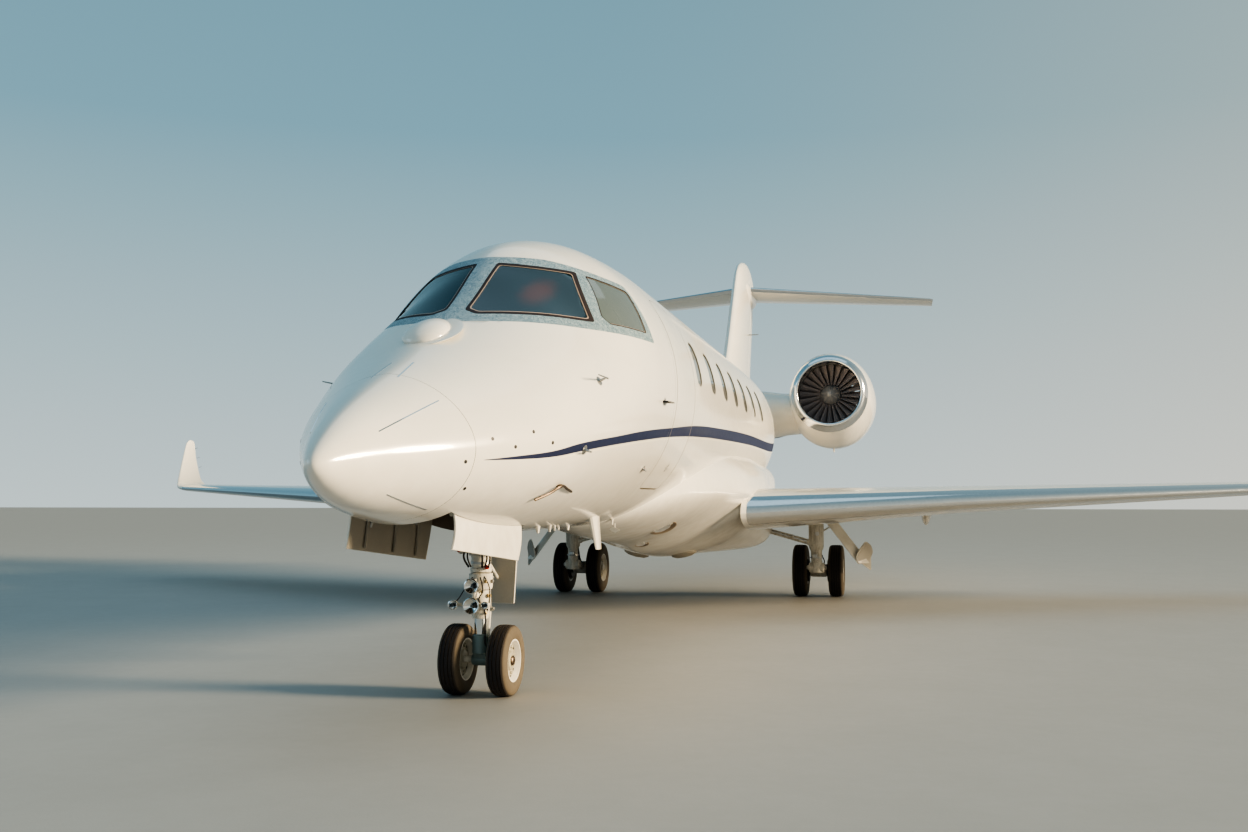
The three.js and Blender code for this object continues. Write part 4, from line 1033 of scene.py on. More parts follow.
TAIL_ROWS = [(*row, TAILPLANE_HEIGHT) for row in
             [mixed_row(TAILPLANE, x) for x in (0, .3, .8, 1.5, 2.3, 3.1, 3.56, 3.6, 3.626)]]
TAIL_SPAN = [(-row[0], *row[1:]) for row in TAIL_ROWS[:0:-1]] + TAIL_ROWS
elevator_ends = [hinge_on(TAILPLANE, x, s, TAILPLANE_HEIGHT, 0) for x, s in ((.46, 18.44), (3.38, 19.64))]
pair("elevator_skin", combined(level_form(TAIL_SPAN), hinge_block(elevator_ends, 0), operation="INTERSECT"),
     PAINT, "white_paint", "elevator", "elevator")
tailplane = combined(level_form(TAIL_SPAN), both(hinge_block(elevator_ends, HINGE_GAP)))


def on_tail_edge(p, normal):
    row = mixed_row(TAILPLANE, abs(p.x))
    return .12 < abs(p.x) and p.y + HALF_LENGTH < row[1] + .09


piece("tailplane_skin", paint_faces(tailplane, 1, on_tail_edge), [PAINT, POLISHED],
      stands_for="tailplane")
# The fairing on the tailplane's middle: station and share of its full size
BULLET = [
    (16.55, .02), (16.58, .3), (16.68, .62), (16.85, .9), (17.1, 1), (17.6, 1.1), (18.1, 1.05), (18.4, .8)]
bullet = skin([oval(0, s, .15 * w, TAILPLANE_HEIGHT + .13 * w, TAILPLANE_HEIGHT - .24 * w, TAILPLANE_HEIGHT,
                    32) for s, w in BULLET])
piece("tail_bullet", bullet, PAINT)


# Engines

def engine_ring(d, half, tall, sag=0):
    middle = ENGINE_HEIGHT + sag
    return oval(ENGINE_ACROSS, ENGINE_STATION + d, half, middle + tall, middle - tall, middle, 72)


def cowl_ring(d):
    return engine_ring(d, *(f(d) for f in cowl))


def duct_ring(d):
    return engine_ring(d, duct_radius(d), duct_radius(d))


def engine_spot(d, radius=0, turn=0):
    """A place on an engine, by its distance aft of the lip, its distance from the axis and its turn."""
    return at(ENGINE_ACROSS + radius * math.cos(turn), ENGINE_STATION + d,
              ENGINE_HEIGHT + radius * math.sin(turn))


def round_engine(profile, sides=72):
    return turned(profile, engine_spot(0), (0, 1, 0), sides)


def around(places):
    """A closed shell that runs ahead along the cowl's outside and back along its duct."""
    return skin([cowl_ring(d) for d in reversed(places)] + [duct_ring(d) for d in places], loop=True)


def in_duct(p, normal):
    return normal.dot(p - at(ENGINE_ACROSS, p.y + HALF_LENGTH, ENGINE_HEIGHT)) < 0


LIP_END = .15
lip_places = [LIP_END * (i / 16) ** 2 for i in range(17)]
lip = skin([cowl_ring(d) for d in reversed(lip_places)] + [duct_ring(d) for d in lip_places[1:]], loop=True)
pair("lip_skin", lip, POLISHED, "polished_metal", "inlet_lip")
nacelle = paint_faces(around(spaced(LIP_END + SEAM, 3.15, .1)), 1, in_duct)
pair("nacelle_skin", nacelle, [PAINT, DUCT_LINER], "white_paint", "nacelle")

core = round_engine([
    (.76, 0), (.76, .3), (.78, .33), (1.5, .36), (2.35, .32), (2.9, .25), (2.9, .235), (3.0, .2), (3.15, .12),
    (3.25, .06), (3.3, .03), (3.3, 0)])
vanes = []
for turn in (math.pi * i / 3 for i in range(6)):
    side = Vector((-math.sin(turn), 0, math.cos(turn))) * .014
    inner, outer = ([engine_spot(d, radius, turn) for d in (.86, 1.18)] for radius in (.25, .496))
    vanes.append(skin([[a[0] - side, a[1] - side, a[1] + side, a[0] + side] for a in (inner, outer)]))
pair("engine_block", joined(core, *vanes), EXHAUST, "engine_steel", "engine_core")


def fan_blade(index):
    """A thin twisted blade from the hub to its tip, its leading edge swept."""
    turn = 2 * math.pi * index / BLADE_COUNT
    rings = []
    for t in (k / 8 for k in range(9)):
        radius = .118 + (.468 - .118) * t
        half_along, half_round = .05 + .012 * t, .024 + .034 * t
        sweep = .03 * math.sin(math.pi * t) - .02 * t
        thick = .0045 - .0028 * t
        ring = []
        for u, lift in ((-1, 0), (-.4, .7), (.3, .9), (1, 0), (.3, -.9), (-.4, -.7)):
            round_by = u * half_round + .012 * (1 - u * u) + lift * thick
            ring.append(engine_spot(.52 + u * half_along + sweep, radius, turn + round_by / radius))
        rings.append(ring)
    return skin(rings)


hub = round_engine([
    (.24, 0), (.243, .02), (.255, .035), (.27, .048), (.34, .1), (.43, .148), (.5, .16), (.58, .162),
    (.58, .06), (.758, .06), (.758, 0)], 48)
pair("fan_blades", joined(*(fan_blade(i) for i in range(BLADE_COUNT))), CARBON, "engine_steel", "fan", "fan")
pair("fan_spinner", hub, SPINNER, "engine_steel", "", "fan")


# Landing gear

def tyre(x, s, z, half, radius, rim, grooves):
    """A tyre with its grooved tread, turned about an axis across the aircraft."""
    deep = radius - rim
    side = [(-.74, rim - .002), (-.86, rim + .006)]
    side += [(-across, rim + deep * share) for across, share in (
        (.965, .2), (1, .43), (.975, .64), (.89, .83), (.8, .915), (.72, .95))]
    profile = [(a * half, r) for a, r in side]
    for place in grooves:
        crown = radius - .012 * deep * (place / .7) ** 4 * 3
        wide, depth = .035 * half, .06 * deep
        profile += [((place - .045) * half, crown), (place * half - wide, crown - depth),
                    (place * half + wide, crown - depth), ((place + .045) * half, crown)]
    profile += [(-a, r) for a, r in reversed(profile[:len(side)])]
    return turned(profile + profile[:1], at(x, s, z), (1, 0, 0), 72)


def wheel_spots(x, s, z, reach, turns):
    """Places round a wheel at a distance from its axis."""
    return [at(x, s + reach * math.cos(turn), z + reach * math.sin(turn)) for turn in turns]


def wheel_hub(x, s, z, half, rim, bore, bolts):
    """A cast wheel: its flanges, the dish between them, the hub round the axle and its bolts."""
    flange = [(.62, rim - .004), (.7, rim + .004), (.8, rim + .009), (.87, rim + .007), (.86, rim - .004),
              (.78, rim - .006)]
    dish = [(.66, rim - .012), (.4, rim * .86), (.34, rim * .7), (.4, rim * .5), (.62, rim * .44),
            (.66, rim * .38), (.66, bore)]
    right = [(a * half, r) for a, r in flange + dish]
    profile = right + [(-a, r) for a, r in reversed(right)]
    parts = [turned(profile + profile[:1], at(x, s, z), (1, 0, 0), 64)]
    turns = [2 * math.pi * (i + .5) / bolts for i in range(bolts)]
    bolt = [(0, 0), (0, .011), (.009, .01), (.012, .006), (.012, 0)]
    for side in (-1, 1):
        for spot in wheel_spots(x + side * half * .34, s, z, rim * .68, turns):
            parts.append(turned(bolt, spot, (side, 0, 0), 8))
    return joined(*parts)


def wheel_holes(x, s, z, half, rim, count):
    """Dark lightening holes round a wheel's dish, on both its sides."""
    profile = [(-.004, 0), (-.004, rim * .07), (.0015, rim * .075), (.0015, 0)]
    turns = [2 * math.pi * i / count for i in range(count)]
    return joined(*(turned(profile, spot, (side, 0, 0), 14) for side in (1, -1)
                    for spot in wheel_spots(x + side * half * .375, s, z, rim * .83, turns)))


NOSE_S, NOSE_R, NOSE_HALF, NOSE_RIM = 2.527, .247, .075, .142
MAIN_S, MAIN_R, MAIN_HALF, MAIN_RIM = 11.646, .3635, .106, .195
STEER_S, LEG_S, LEG_X = 2.495, 11.18, 1.756
NOSE_TRACK, MAIN_TRACK = .1755, .25


def set_of_wheels(name, bore, places, size, grooves, bolts):
    """Tyres, wheels and their holes at distances across; each rides on its body."""
    s, radius, half, rim = size
    for label, (x, body, cad) in places.items():
        rubber = tyre(x, s, radius, half, radius, rim, grooves)
        piece(f"{name}_tyre_{label}", rubber, RUBBER, body, cad)
        wheel = wheel_hub(x, s, radius, half, rim, bore, bolts)
        paint_faces(wheel, 1, lambda p, n: math.hypot(p.y - at(x, s, 0).y, p.z - radius) < rim * .8)
        piece(f"{name}_hub_{label}", wheel, [WHEEL_PAINT, WHEEL_DISH], body)
        piece(f"{name}_holes_{label}", wheel_holes(x, s, radius, half, rim, bolts + 1), DARK_METAL, body)


set_of_wheels("nose", .0268, {
    side: (sign * NOSE_TRACK, "nose_wheels", f"nose_wheel_{side}")
    for side, sign in (("port", 1), ("starboard", -1))},
    (NOSE_S, NOSE_R, NOSE_HALF, NOSE_RIM), (-.56, -.2, .2, .56), 8)
set_of_wheels("main", .0388, {
    f"{place}_{side}": (sign * (LEG_X + reach), f"main_wheels_{side}", f"main_wheel_{place}_{side}")
    for side, sign in (("port", 1), ("starboard", -1))
    for place, reach in (("inner", -MAIN_TRACK), ("outer", MAIN_TRACK))},
    (MAIN_S, MAIN_R, MAIN_HALF, MAIN_RIM), (-.6, -.3, 0, .3, .6), 10)


def column(x, s, profile, sides=32):
    """An upright turned body: profile points are height and radius."""
    return turned(profile, at(x, s, 0), (0, 0, 1), sides)


def link(a, b, wide_a, wide_b, thick, across=(1, 0, 0)):
    """A flat tapered arm between two pivots."""
    a, b = at(*a), at(*b)
    side = Vector(across).normalized()
    up = (b - a).normalized().cross(side).normalized() * thick / 2
    rings = [[p + side * wide * i / 2 + up * k for i, k in ((-1, -1), (1, -1), (1, 1), (-1, 1))]
             for p, wide in ((a, wide_a), (b, wide_b))]
    return bevelled(skin(rings), min(.004, thick * .2))


# Nose gear: the leg with its trunnion, drag brace and steering motors
nose_leg = joined(
    column(0, STEER_S, [
        (.862, 0), (.862, .07), (.868, .076), (.89, .076), (.896, .07), (.975, .07), (.98, .086),
        (1.06, .086), (1.066, .07), (1.2, .069), (1.205, .076), (1.23, .076), (1.236, .068), (1.5, .068),
        (1.58, .06), (1.6, .04), (1.6, 0)]),
    cross_pins(0, [(.21, STEER_S, 1.45, .045), (.1, STEER_S, 1.45, .062), (.05, 2.02, 1.29, .03),
                   (.12, 1.57, 1.555, .024)]),
    rods([((0, 1.58, 1.55), (0, 2.02, 1.29), .026, .03), ((0, 2.02, 1.29), (0, 2.44, 1.04), .03, .024)]),
    link((0, 2.44, 1.04), (0, 2.47, 1.02), .07, .09, .05))
piece("nose_leg_barrel", nose_leg, GEAR, stands_for="nose_gear_leg")
MOTOR_X, MOTOR_Z = .125, 1.02
motor = joined(
    rods([((MOTOR_X, 2.42, MOTOR_Z), (MOTOR_X, 2.58, MOTOR_Z), .03),
          ((MOTOR_X, 2.4, MOTOR_Z), (MOTOR_X, 2.42, MOTOR_Z), .021)]),
    link((.06, STEER_S, MOTOR_Z), (MOTOR_X, STEER_S, MOTOR_Z), .05, .05, .05, (0, 1, 0)))
piece("steering_motors", both(motor), GEAR)
caps = studs([(0, 0), (0, .017), (.018, .015), (.022, .01), (.022, 0)], [
    ((MOTOR_X, 2.395, MOTOR_Z), (0, -1, 0)), ((-MOTOR_X, 2.395, MOTOR_Z), (0, -1, 0)),
    ((-.068, 2.44, 1.13), (-.6, -.8, 0)), ((.062, 2.44, .9), (.6, -.8, 0))], 16)
piece("leg_caps", caps, RED_CAP)

hose_runs = [(.008, (-.03, 2.43, 1.42), (-.16, 2.3, 1.3), (-.2, 2.2, 1.42), (-.25, 2.1, 1.55))]
for k, (x, reach) in enumerate(((.05, .0), (.03, .012), (-.045, .006), (-.06, .02), (.072, .03))):
    hose_runs.append((
        .006 + .0012 * (k % 2), (x, 2.43 - reach, 1.44), (x * 1.3, 2.415 - reach, 1.25),
        (x * .9, 2.41 - reach, 1.1), (x * 1.5, 2.405 - reach, .98), (x * 1.1, 2.425, .9)))
piece("leg_hoses", pipes(hose_runs), HOSE)
bands = joined(*(column(0, STEER_S, [(z, .06), (z, r), (z + .016, r), (z + .016, .06)]) for z, r in (
    (.92, .0745), (1.12, .0735), (1.3, .072), (1.4, .072))))
boxes = joined(block(-.05, -.01, 2.395, 2.43, 1.28, 1.36), block(.012, .055, 2.4, 2.43, 1.15, 1.2),
               block(-.06, -.02, 2.4, 2.43, 1.05, 1.09))
piece("leg_bands", joined(bands, boxes), STEEL)

# The steered part: piston, collar, torque links, axle and lamps
STEERED = "nose_gear_lower"
piston = column(0, STEER_S, [(.4, 0), (.4, .043), (.6, .043), (.6, 0)])
piece("nose_piston", piston, CHROME, STEERED)
lower = joined(
    column(0, STEER_S, [(.54, .046), (.54, .058), (.56, .064), (.735, .064), (.745, .078), (.76, .084),
                        (.852, .084), (.858, .07), (.858, 0), (.54, 0)]),
    cross_pins(0, [(.2335, NOSE_S, NOSE_R, .026), (.03, 2.665, .59, .014), (.062, 2.545, .82, .018),
                   (.062, 2.535, .36, .018)]),
    rods([((0, 2.365, .6), (0, 2.365, .82), .014), ((-.15, 2.355, .645), (.1, 2.355, .645), .013)]),
    link((0, 2.545, .815), (0, 2.662, .603), .1, .035, .022),
    link((0, 2.535, .36), (0, 2.662, .577), .1, .035, .022),
    link((0, 2.52, .71), (0, 2.37, .71), .05, .04, .04),
    link((-.05, 2.5, .6), (-.06, 2.4, .6), .03, .02, .02),
    link((.05, 2.5, .6), (.07, 2.4, .63), .03, .02, .02))
piece("nose_strut_fork", lower, GEAR, STEERED, "nose_gear_strut")
sleeve = column(0, STEER_S, [(.29, 0), (.29, .05), (.3, .057), (.42, .057), (.43, .046), (.43, 0)])
fork = turned([(-.066, 0), (-.066, .036), (-.055, .042), (.055, .042), (.066, .036), (.066, 0)],
              at(0, NOSE_S, NOSE_R), (1, 0, 0), 28)
fork_arm = link((0, STEER_S, .34), (0, NOSE_S, NOSE_R), .1, .08, .07)
piece("nose_sleeve", joined(sleeve, fork, fork_arm), SLEEVE_PAINT, STEERED)

# Lamps as across, station, height and radius; their turned parts as distance aft and share of that radius
LAMPS = [(0, 2.33, .775, .052), (0, 2.33, .64, .058), (-.135, 2.33, .645, .034), (.095, 2.34, .645, .026)]
LAMP_PARTS = {
    "cans": (28, GEAR, "gear_metal", [
        (.002, .93), (.03, .9), (.062, .62), (.088, .45), (.09, 0), (.05, 0), (.04, .5), (.002, .86),
        (.002, .93)]),
    "rims": (32, CHROME, "polished_metal", [
        (0, .84), (-.002, .9), (0, 1), (.012, 1), (.014, .9), (0, .84)]),
    "bowls": (32, CHROME, "polished_metal", [
        (.002, .87), (.008, .76), (.018, .5), (.026, .2), (.027, 0), (.034, 0), (.032, .3), (.022, .62),
        (.012, .86), (.002, .87)]),
    "bulbs": (16, DARK_LAMP, "window_glass", [(.004, 0), (.006, .12), (.014, .17), (.024, .15), (.03, 0)])}
for part, (sides, finish, slot, profile) in LAMP_PARTS.items():
    forms = [turned([(aft, share * r) for aft, share in profile], at(x, s - .035, z), (0, 1, 0), sides)
             for x, s, z, r in LAMPS]
    piece(f"lamp_{part}", joined(*forms), finish, STEERED)
cables = pipes([
    (.005, (.03, 2.4, .83), (.06, 2.37, .74), (.035, 2.36, .68), (.06, 2.41, .6), (.055, 2.44, .5),
     (.05, 2.45, .4), (.04, 2.49, .3)),
    (.004, (-.03, 2.41, .83), (-.08, 2.37, .74), (-.11, 2.36, .69), (-.13, 2.345, .66)),
    (.004, (.045, 2.43, .84), (.09, 2.42, .76), (.085, 2.43, .66), (.06, 2.45, .58))])
piece("strut_cables", cables, HOSE, STEERED)
fitting_spots = [((sign * x, s, z), (sign, 0, 0)) for sign in (1, -1) for x, s, z in (
    (.085, 2.48, .8), (.03, 2.655, .59), (.062, 2.535, .36), (.062, 2.545, .82))]
fittings = studs([(0, 0), (0, .014), (.012, .014), (.016, .01), (.016, 0)],
                 fitting_spots + [((0, 2.47, .31), (0, -1, 0))], 6)
piece("strut_fittings", fittings, STEEL, STEERED)
axle_nuts = studs([(0, 0), (0, .034), (.006, .036), (.012, .03), (.015, .02), (.015, 0)],
                  [((sign * .226, NOSE_S, NOSE_R), (sign, 0, 0)) for sign in (1, -1)], 12)
piece("axle_nuts", axle_nuts, BRASS, "nose_wheels")
# Valves and unions round the collar: place, reach, radius
CLUTTER = [
    (.05, 2.44, .8, .03, .012), (-.055, 2.44, .77, .035, .014), (.066, 2.47, .7, .02, .016),
    (-.06, 2.45, .67, .03, .01), (.03, 2.42, .73, .03, .009), (-.02, 2.42, .585, .02, .012),
    (.05, 2.45, .58, .025, .01), (-.05, 2.46, .83, .02, .016)]
UNION = [(0, 0), (0, .8), (.4, 1), (.6, 1), (.62, .6), (1, .55), (1, 0)]
unions = joined(*(turned([(a * reach, b * r) for a, b in UNION], at(x, s, z), (x, s - STEER_S, 0), 8)
                  for x, s, z, reach, r in CLUTTER))
piece("strut_unions", unions, GOLD, STEERED)


# Nose gear doors: curved plates with ribs on the inside

def bowed_plate(outline, thickness, bow, hollow, cells=10):
    """A plate through four corners, bowed outwards, its front edge hollow and its rear edge full."""
    a, b, c, d = outline
    rings = []
    for i in range(cells + 1):
        t = i / cells
        swell = 4 * t * (1 - t)
        start, end = a.lerp(d, t), b.lerp(c, t)
        row = [start.lerp(end, u / cells) + Vector((bow, hollow, 0)) * swell for u in range(cells + 1)]
        rings.append(row + [p - Vector((thickness, 0, 0)) for p in row[::-1]])
    return bevelled(skin(rings), .003, 1, 60)


NOSE_DOOR = [(.321, 1.1, 1.36), (.321, 2.362, 1.3), (.345, 2.286, .955), (.345, 1.074, 1.08)]
door_plate = bowed_plate([at(*p) for p in NOSE_DOOR], .016, .012, .035)
paint_faces(door_plate, 1, lambda p, n: n.x < -.5)
pair("nose_door_skin", door_plate, [PAINT, DOOR_INSIDE], "white_paint", "nose_gear_door")
door_ribs = []
for s in (1.3, 1.72, 2.08):
    low = 1.08 - .105 * (s - 1.074)
    rings = []
    for t in (k / 8 for k in range(9)):
        swell = 4 * t * (1 - t)
        rings.append([at(x - .024 * t + .012 * swell, s + .035 * swell + b, low + .02 + .27 * t)
                      for x, b in ((.322, -.013), (.311, -.008), (.311, .008), (.322, .013))])
    door_ribs.append(skin(rings))
pair("nose_door_ribs", joined(*door_ribs), DOOR_INSIDE, "white_paint")
door_rods = rods([((.31, s, 1.2), (.26, s + .03, 1.4), .011) for s in (1.35, 2.05)]
                 + [((.308, s - .03, 1.32), (.308, s + .03, 1.32), .018) for s in (1.2, 1.7, 2.2)])
pair("nose_door_rods", door_rods, STEEL, "gear_metal")

# The leg's own door: height, half width and station
LEG_DOOR = [(1.12, .15, 2.85), (.95, .15, 2.843), (.75, .143, 2.83), (.615, .138, 2.822)]
leg_door = bevelled(skin([[at(-w, s, z), at(w, s, z), at(w, s + .014, z), at(-w, s + .014, z)]
                          for z, w, s in LEG_DOOR]), .004, 1)
paint_faces(leg_door, 1, lambda p, n: n.y < -.9)
stays = joined(rods([((0, STEER_S + .067, 1.0), (0, 2.85, 1.0), .018),
                     ((0, STEER_S + .067, .975), (0, 2.84, .8), .014)]),
               block(-.06, .06, 2.828, 2.85, .98, 1.02))
piece("leg_door_skin", leg_door, [PAINT, DOOR_INSIDE], stands_for="nose_gear_leg_door")
piece("leg_door_stays", stays, GEAR)


# Main gear, port side and its mirror image

WHEEL_AT = (LEG_X, MAIN_S, MAIN_R)
main_leg = joined(
    column(LEG_X, LEG_S, [(.36, 0), (.36, .074), (.37, .08), (.5, .08), (.51, .074), (.66, .077), (.7, .1),
                          (.78, .105), (1.22, .105), (1.3, .105), (1.3, 0)]),
    cross_pins(LEG_X, [(.105, LEG_S, .43, .07), (.12, LEG_S, .43, .035), (.34, MAIN_S, MAIN_R, .038),
                       (.05, 11.516, .42, .028)]),
    rods([((LEG_X, LEG_S, .43), WHEEL_AT, .062, .054), ((LEG_X, 11.37, .68), (LEG_X, 11.235, .96), .052),
          ((LEG_X - .06, LEG_S - .03, .75), (1.09, 11.15, .92), .018),
          ((LEG_X - .06, LEG_S + .02, .79), (1.09, 11.2, .955), .016),
          ((LEG_X - .1, LEG_S - .05, .77), (LEG_X - .1, LEG_S + .05, .77), .035),
          ((1.42, 11.11, .845), (1.42, 11.19, .865), .026)]),
    studs([(-.12, 0), (-.12, .07), (-.105, .09), (-.04, .092), (.04, .092), (.105, .09), (.12, .07),
           (.12, 0)], [(WHEEL_AT, (1, 0, 0))], 36),
    link((LEG_X, 11.19, 1.0), (LEG_X, 11.27, .9), .09, .07, .06))
pair("main_leg_column", main_leg, GEAR, "gear_metal", "main_gear_leg")
pair("main_shock_piston", rods([((LEG_X, 11.516, .42), (LEG_X, 11.36, .69), .034)]), CHROME, "polished_metal")


def facing_pair(profile, reach, s, z, sides):
    """Two turned bodies that face outwards on both sides of a main leg."""
    return studs(profile, [((LEG_X + sign * reach, s, z), (sign, 0, 0)) for sign in (1, -1)], sides)


BRAKE = [(0, .05), (0, .15), (.008, .16), (.05, .16), (.058, .15), (.058, .05), (0, .05)]
pair("brake_packs", facing_pair(BRAKE, .125, MAIN_S, MAIN_R, 48), DARK_METAL, "gear_metal")
lines = pipes([(.007, (LEG_X + dx, 11.3, 1.2), (LEG_X + dx, 11.31, .9), (LEG_X + dx, 11.28, .65),
                (LEG_X + dx * 1.8, 11.3, .52), (LEG_X + dx * 1.6, 11.45, .45), (LEG_X + dx * 2.4, 11.6, .45))
               for dx in (.035, .055, -.04)])
pair("brake_lines", lines, HOSE, "dark_panel")
leg_bits = joined(
    column(LEG_X, LEG_S, [(.56, .06), (.56, .091), (.578, .091), (.578, .06)]),
    block(LEG_X - .05, LEG_X + .02, 11.06, 11.1, .56, .62),
    facing_pair([(0, 0), (0, .03), (.012, .03), (.018, .022), (.018, 0)], .12, LEG_S, .43, 6))
pair("main_leg_fittings", leg_bits, STEEL, "gear_metal")
leg_light = studs([(0, 0), (0, .03), (.02, .03), (.026, .02), (.027, 0)],
                  [((LEG_X + .02, 11.08, .9), (0, -1, 0))], 20)
pair("main_leg_light", leg_light, CLEAR_LAMP, "window_glass")
HUB_CAP = [(0, 0), (0, .05), (.01, .055), (.02, .048), (.026, .03), (.026, 0)]
pair("main_hub_caps", facing_pair(HUB_CAP, .322, MAIN_S, MAIN_R, 24), GEAR, "gear_metal")

# The strap out from the leg, as across, front, rear and height, and the plate at its end
STRAP = [(1.85, 11.07, 11.25, 1.2), (1.965, 11.07, 11.25, 1.05), (2.155, 11.08, 11.25, .8),
         (2.39, 11.09, 11.25, .49)]
FISH_TAIL = [(2.29, .59), (2.345, .69), (2.43, .8), (2.5, .745), (2.53, .65), (2.495, .56), (2.5, .385),
             (2.4, .47), (2.32, .52)]
strap = bevelled(skin([[at(x - .068, s, z), at(x + .068, s2, z), at(x + .088, s2, z + .008),
                        at(x - .048, s, z + .008)] for x, s, s2, z in STRAP]), .004, 1)
tail_plate = bevelled(prism_y(rounded(FISH_TAIL, .03, 4), 11.15, 11.172), .006, 1)
paint_faces(tail_plate, 1, lambda p, n: abs(n.y) > .9)
bmesh.ops.scale(tail_plate, vec=(1.7, 1, 1), space=Matrix.Translation(-at(2.36, 0, 0)),
                verts=tail_plate.verts)
bmesh.ops.rotate(tail_plate, cent=at(2.36, 11.16, 0), matrix=Matrix.Rotation(math.radians(56), 3, "Z"),
                 verts=tail_plate.verts)
strap_stays = joined(link((1.99, 11.16, 1.02), (1.84, 11.18, .93), .03, .03, .02, (0, 1, 0)),
                     link((1.93, 11.12, 1.1), (1.84, 11.15, 1.06), .03, .03, .02, (0, 1, 0)))
pair("main_door_plate", joined(strap, tail_plate), [PAINT, DOOR_INSIDE], "white_paint", "main_gear_door")
pair("main_door_stays", strap_stays, GEAR, "gear_metal")


# Cabin and cockpit

def pad(size, place, lean=0.0, power=4.5, cuts=7):
    """A crowned cushion of a size about a place, leaned about the axis across the aircraft."""
    bm = bmesh.new()
    bmesh.ops.create_cube(bm, size=2)
    bmesh.ops.subdivide_edges(bm, edges=bm.edges[:], cuts=cuts, use_grid_fill=True)
    for v in bm.verts:
        reach = max(abs(c) for c in v.co)
        norm = sum(abs(c) ** power for c in v.co) ** (1 / power)
        v.co = v.co * (reach / norm)
    bmesh.ops.scale(bm, vec=[s / 2 for s in size], verts=bm.verts)
    bmesh.ops.rotate(bm, matrix=Matrix.Rotation(lean, 3, "X"), verts=bm.verts)
    bmesh.ops.translate(bm, vec=place, verts=bm.verts)
    return bm


def piping(size, place, lean, radius=.005):
    """The sewn edge that runs round a cushion."""
    turn = Matrix.Rotation(lean, 3, "X")
    path = []
    for i in range(25):
        angle = 2 * math.pi * i / 24
        across, along = (math.copysign(abs(v) ** .35, v) for v in (math.cos(angle), math.sin(angle)))
        path.append(place + turn @ Vector((across * size[0] * .485, along * size[1] * .485, size[2] * .3)))
    return pipe(path, radius, 6)


def seat_forms(x, front, floor, facing, width):
    """A seat's cushions and its base, arms and legs."""
    def cushion(wide, deep, tall, aft, up, lean):
        return (width * wide, deep, tall), at(x, front + facing * aft, floor + up), lean * facing

    def box(side, half, aft, rear, low, high, bevel):
        s0, s1 = sorted((front + facing * aft, front + facing * rear))
        middle = x + side * width
        return block(middle - half, middle + half, s0, s1, floor + low, floor + high, bevel)
    cushions = [cushion(.86, .5, .13, .27, .375, .04), cushion(.86, .13, .6, .575, .72, -.17),
                cushion(.56, .11, .17, .68, 1.08, -.17)]
    soft = joined(*(pad(*c) for c in cushions), piping(*cushions[0]))
    hard = joined(box(0, width * .3, .1, .56, 0, .3, .02), box(.47, .03, .06, .55, .26, .56, .025),
                  box(-.47, .03, .06, .55, .26, .56, .025), box(0, width * .36, .6, .69, .3, .9, .03))
    return soft, hard


CARPET_TOP = CABIN_FLOOR + .0253
SEAT_ROWS = ((5.5, 1), (7.6, -1), (8.1, 1), (10.2, -1))
for side, sign in (("port", 1), ("starboard", -1)):
    softs, hards = zip(*(seat_forms(sign * .45, front, CARPET_TOP, facing, .43)
                         for front, facing in SEAT_ROWS))
    piece(f"cabin_pads_{side}", joined(*softs), LEATHER,
                    stands_for=f"cabin_seats_{side}")
    rail = block(sign * .44 - .04, sign * .44 + .04, 5.45, 10.3, CARPET_TOP, CARPET_TOP + .02)
    piece(f"cabin_frames_{side}", joined(*hards, rail), LINING)
softs, hards = zip(*(seat_forms(sign * .48, 3.0, COCKPIT_FLOOR, 1, .46) for sign in (1, -1)))
piece("cockpit_pads", joined(*softs), COCKPIT_LEATHER,
                stands_for="cockpit_seats")
PEDESTAL_TOP = COCKPIT_FLOOR + .42
pedestal = joined(
    block(-.33, .33, 3.06, 3.52, COCKPIT_FLOOR, COCKPIT_FLOOR + .06),
    block(-.11, .11, 3.01, 3.5, COCKPIT_FLOOR, PEDESTAL_TOP, .02),
    rods([((x, 3.2, PEDESTAL_TOP), (x, 3.18, PEDESTAL_TOP + .11), .009) for x in (-.05, 0, .05)]))
piece("cockpit_frames", joined(*hards, pedestal), PANEL_PLASTIC)
PANEL_OUTLINE = [(2.11, 2.38), (2.56, 2.54), (2.86, 2.56), (2.88, 2.52), (2.72, 2.48), (2.76, 2.1),
                 (2.99, 2.04), (2.99, 1.96), (2.7, 1.96), (2.11, 2.0)]
panel = combined(prism_x(rounded(PANEL_OUTLINE, .02, 3), -1, 1), hull_body(1.99, 3.6, WALL + .0003),
                 operation="INTERSECT")
piece("panel_board", panel, PANEL_PLASTIC, stands_for="instrument_panel")
screens = joined(*(block(x - .14, x + .14, 2.725, 2.748, 2.2, 2.42, .006) for x in (-.66, -.33, 0, .33, .66)))
piece("panel_screens", screens, DARK_LAMP)
YOKE = [(-.16, 2.98, 2.27), (-.15, 2.985, 2.16), (0, 2.99, 2.13), (.15, 2.985, 2.16), (.16, 2.98, 2.27)]
yokes = joined(rods([((x, 2.76, 2.1), (x, 2.98, 2.16), .022) for x in (-.48, .48)]),
               pipes([(.016, *((x + dx, s, z) for dx, s, z in YOKE)) for x in (-.48, .48)]))
piece("control_yokes", yokes, PANEL_PLASTIC)
carpet = combined(hull_body(3.97, 11.48, WALL + .025, .4),
                  block(-2, 2, 3, 12, CABIN_FLOOR + .0003, CABIN_FLOOR + .025, 0), operation="INTERSECT")
piece("cabin_carpet", carpet, CARPET, stands_for="cabin_floor")


def bulkhead(s):
    return combined(hull_body(s, s + .03, WALL + .002, .03), whole_slab(0, CABIN_FLOOR + .03))


cockpit_wall = combined(bulkhead(3.99), block(-.32, .32, 3.9, 4.1, 1, 3.2, 0))
piece("cabin_bulkheads", joined(cockpit_wall, bulkhead(11.3)), LINING)


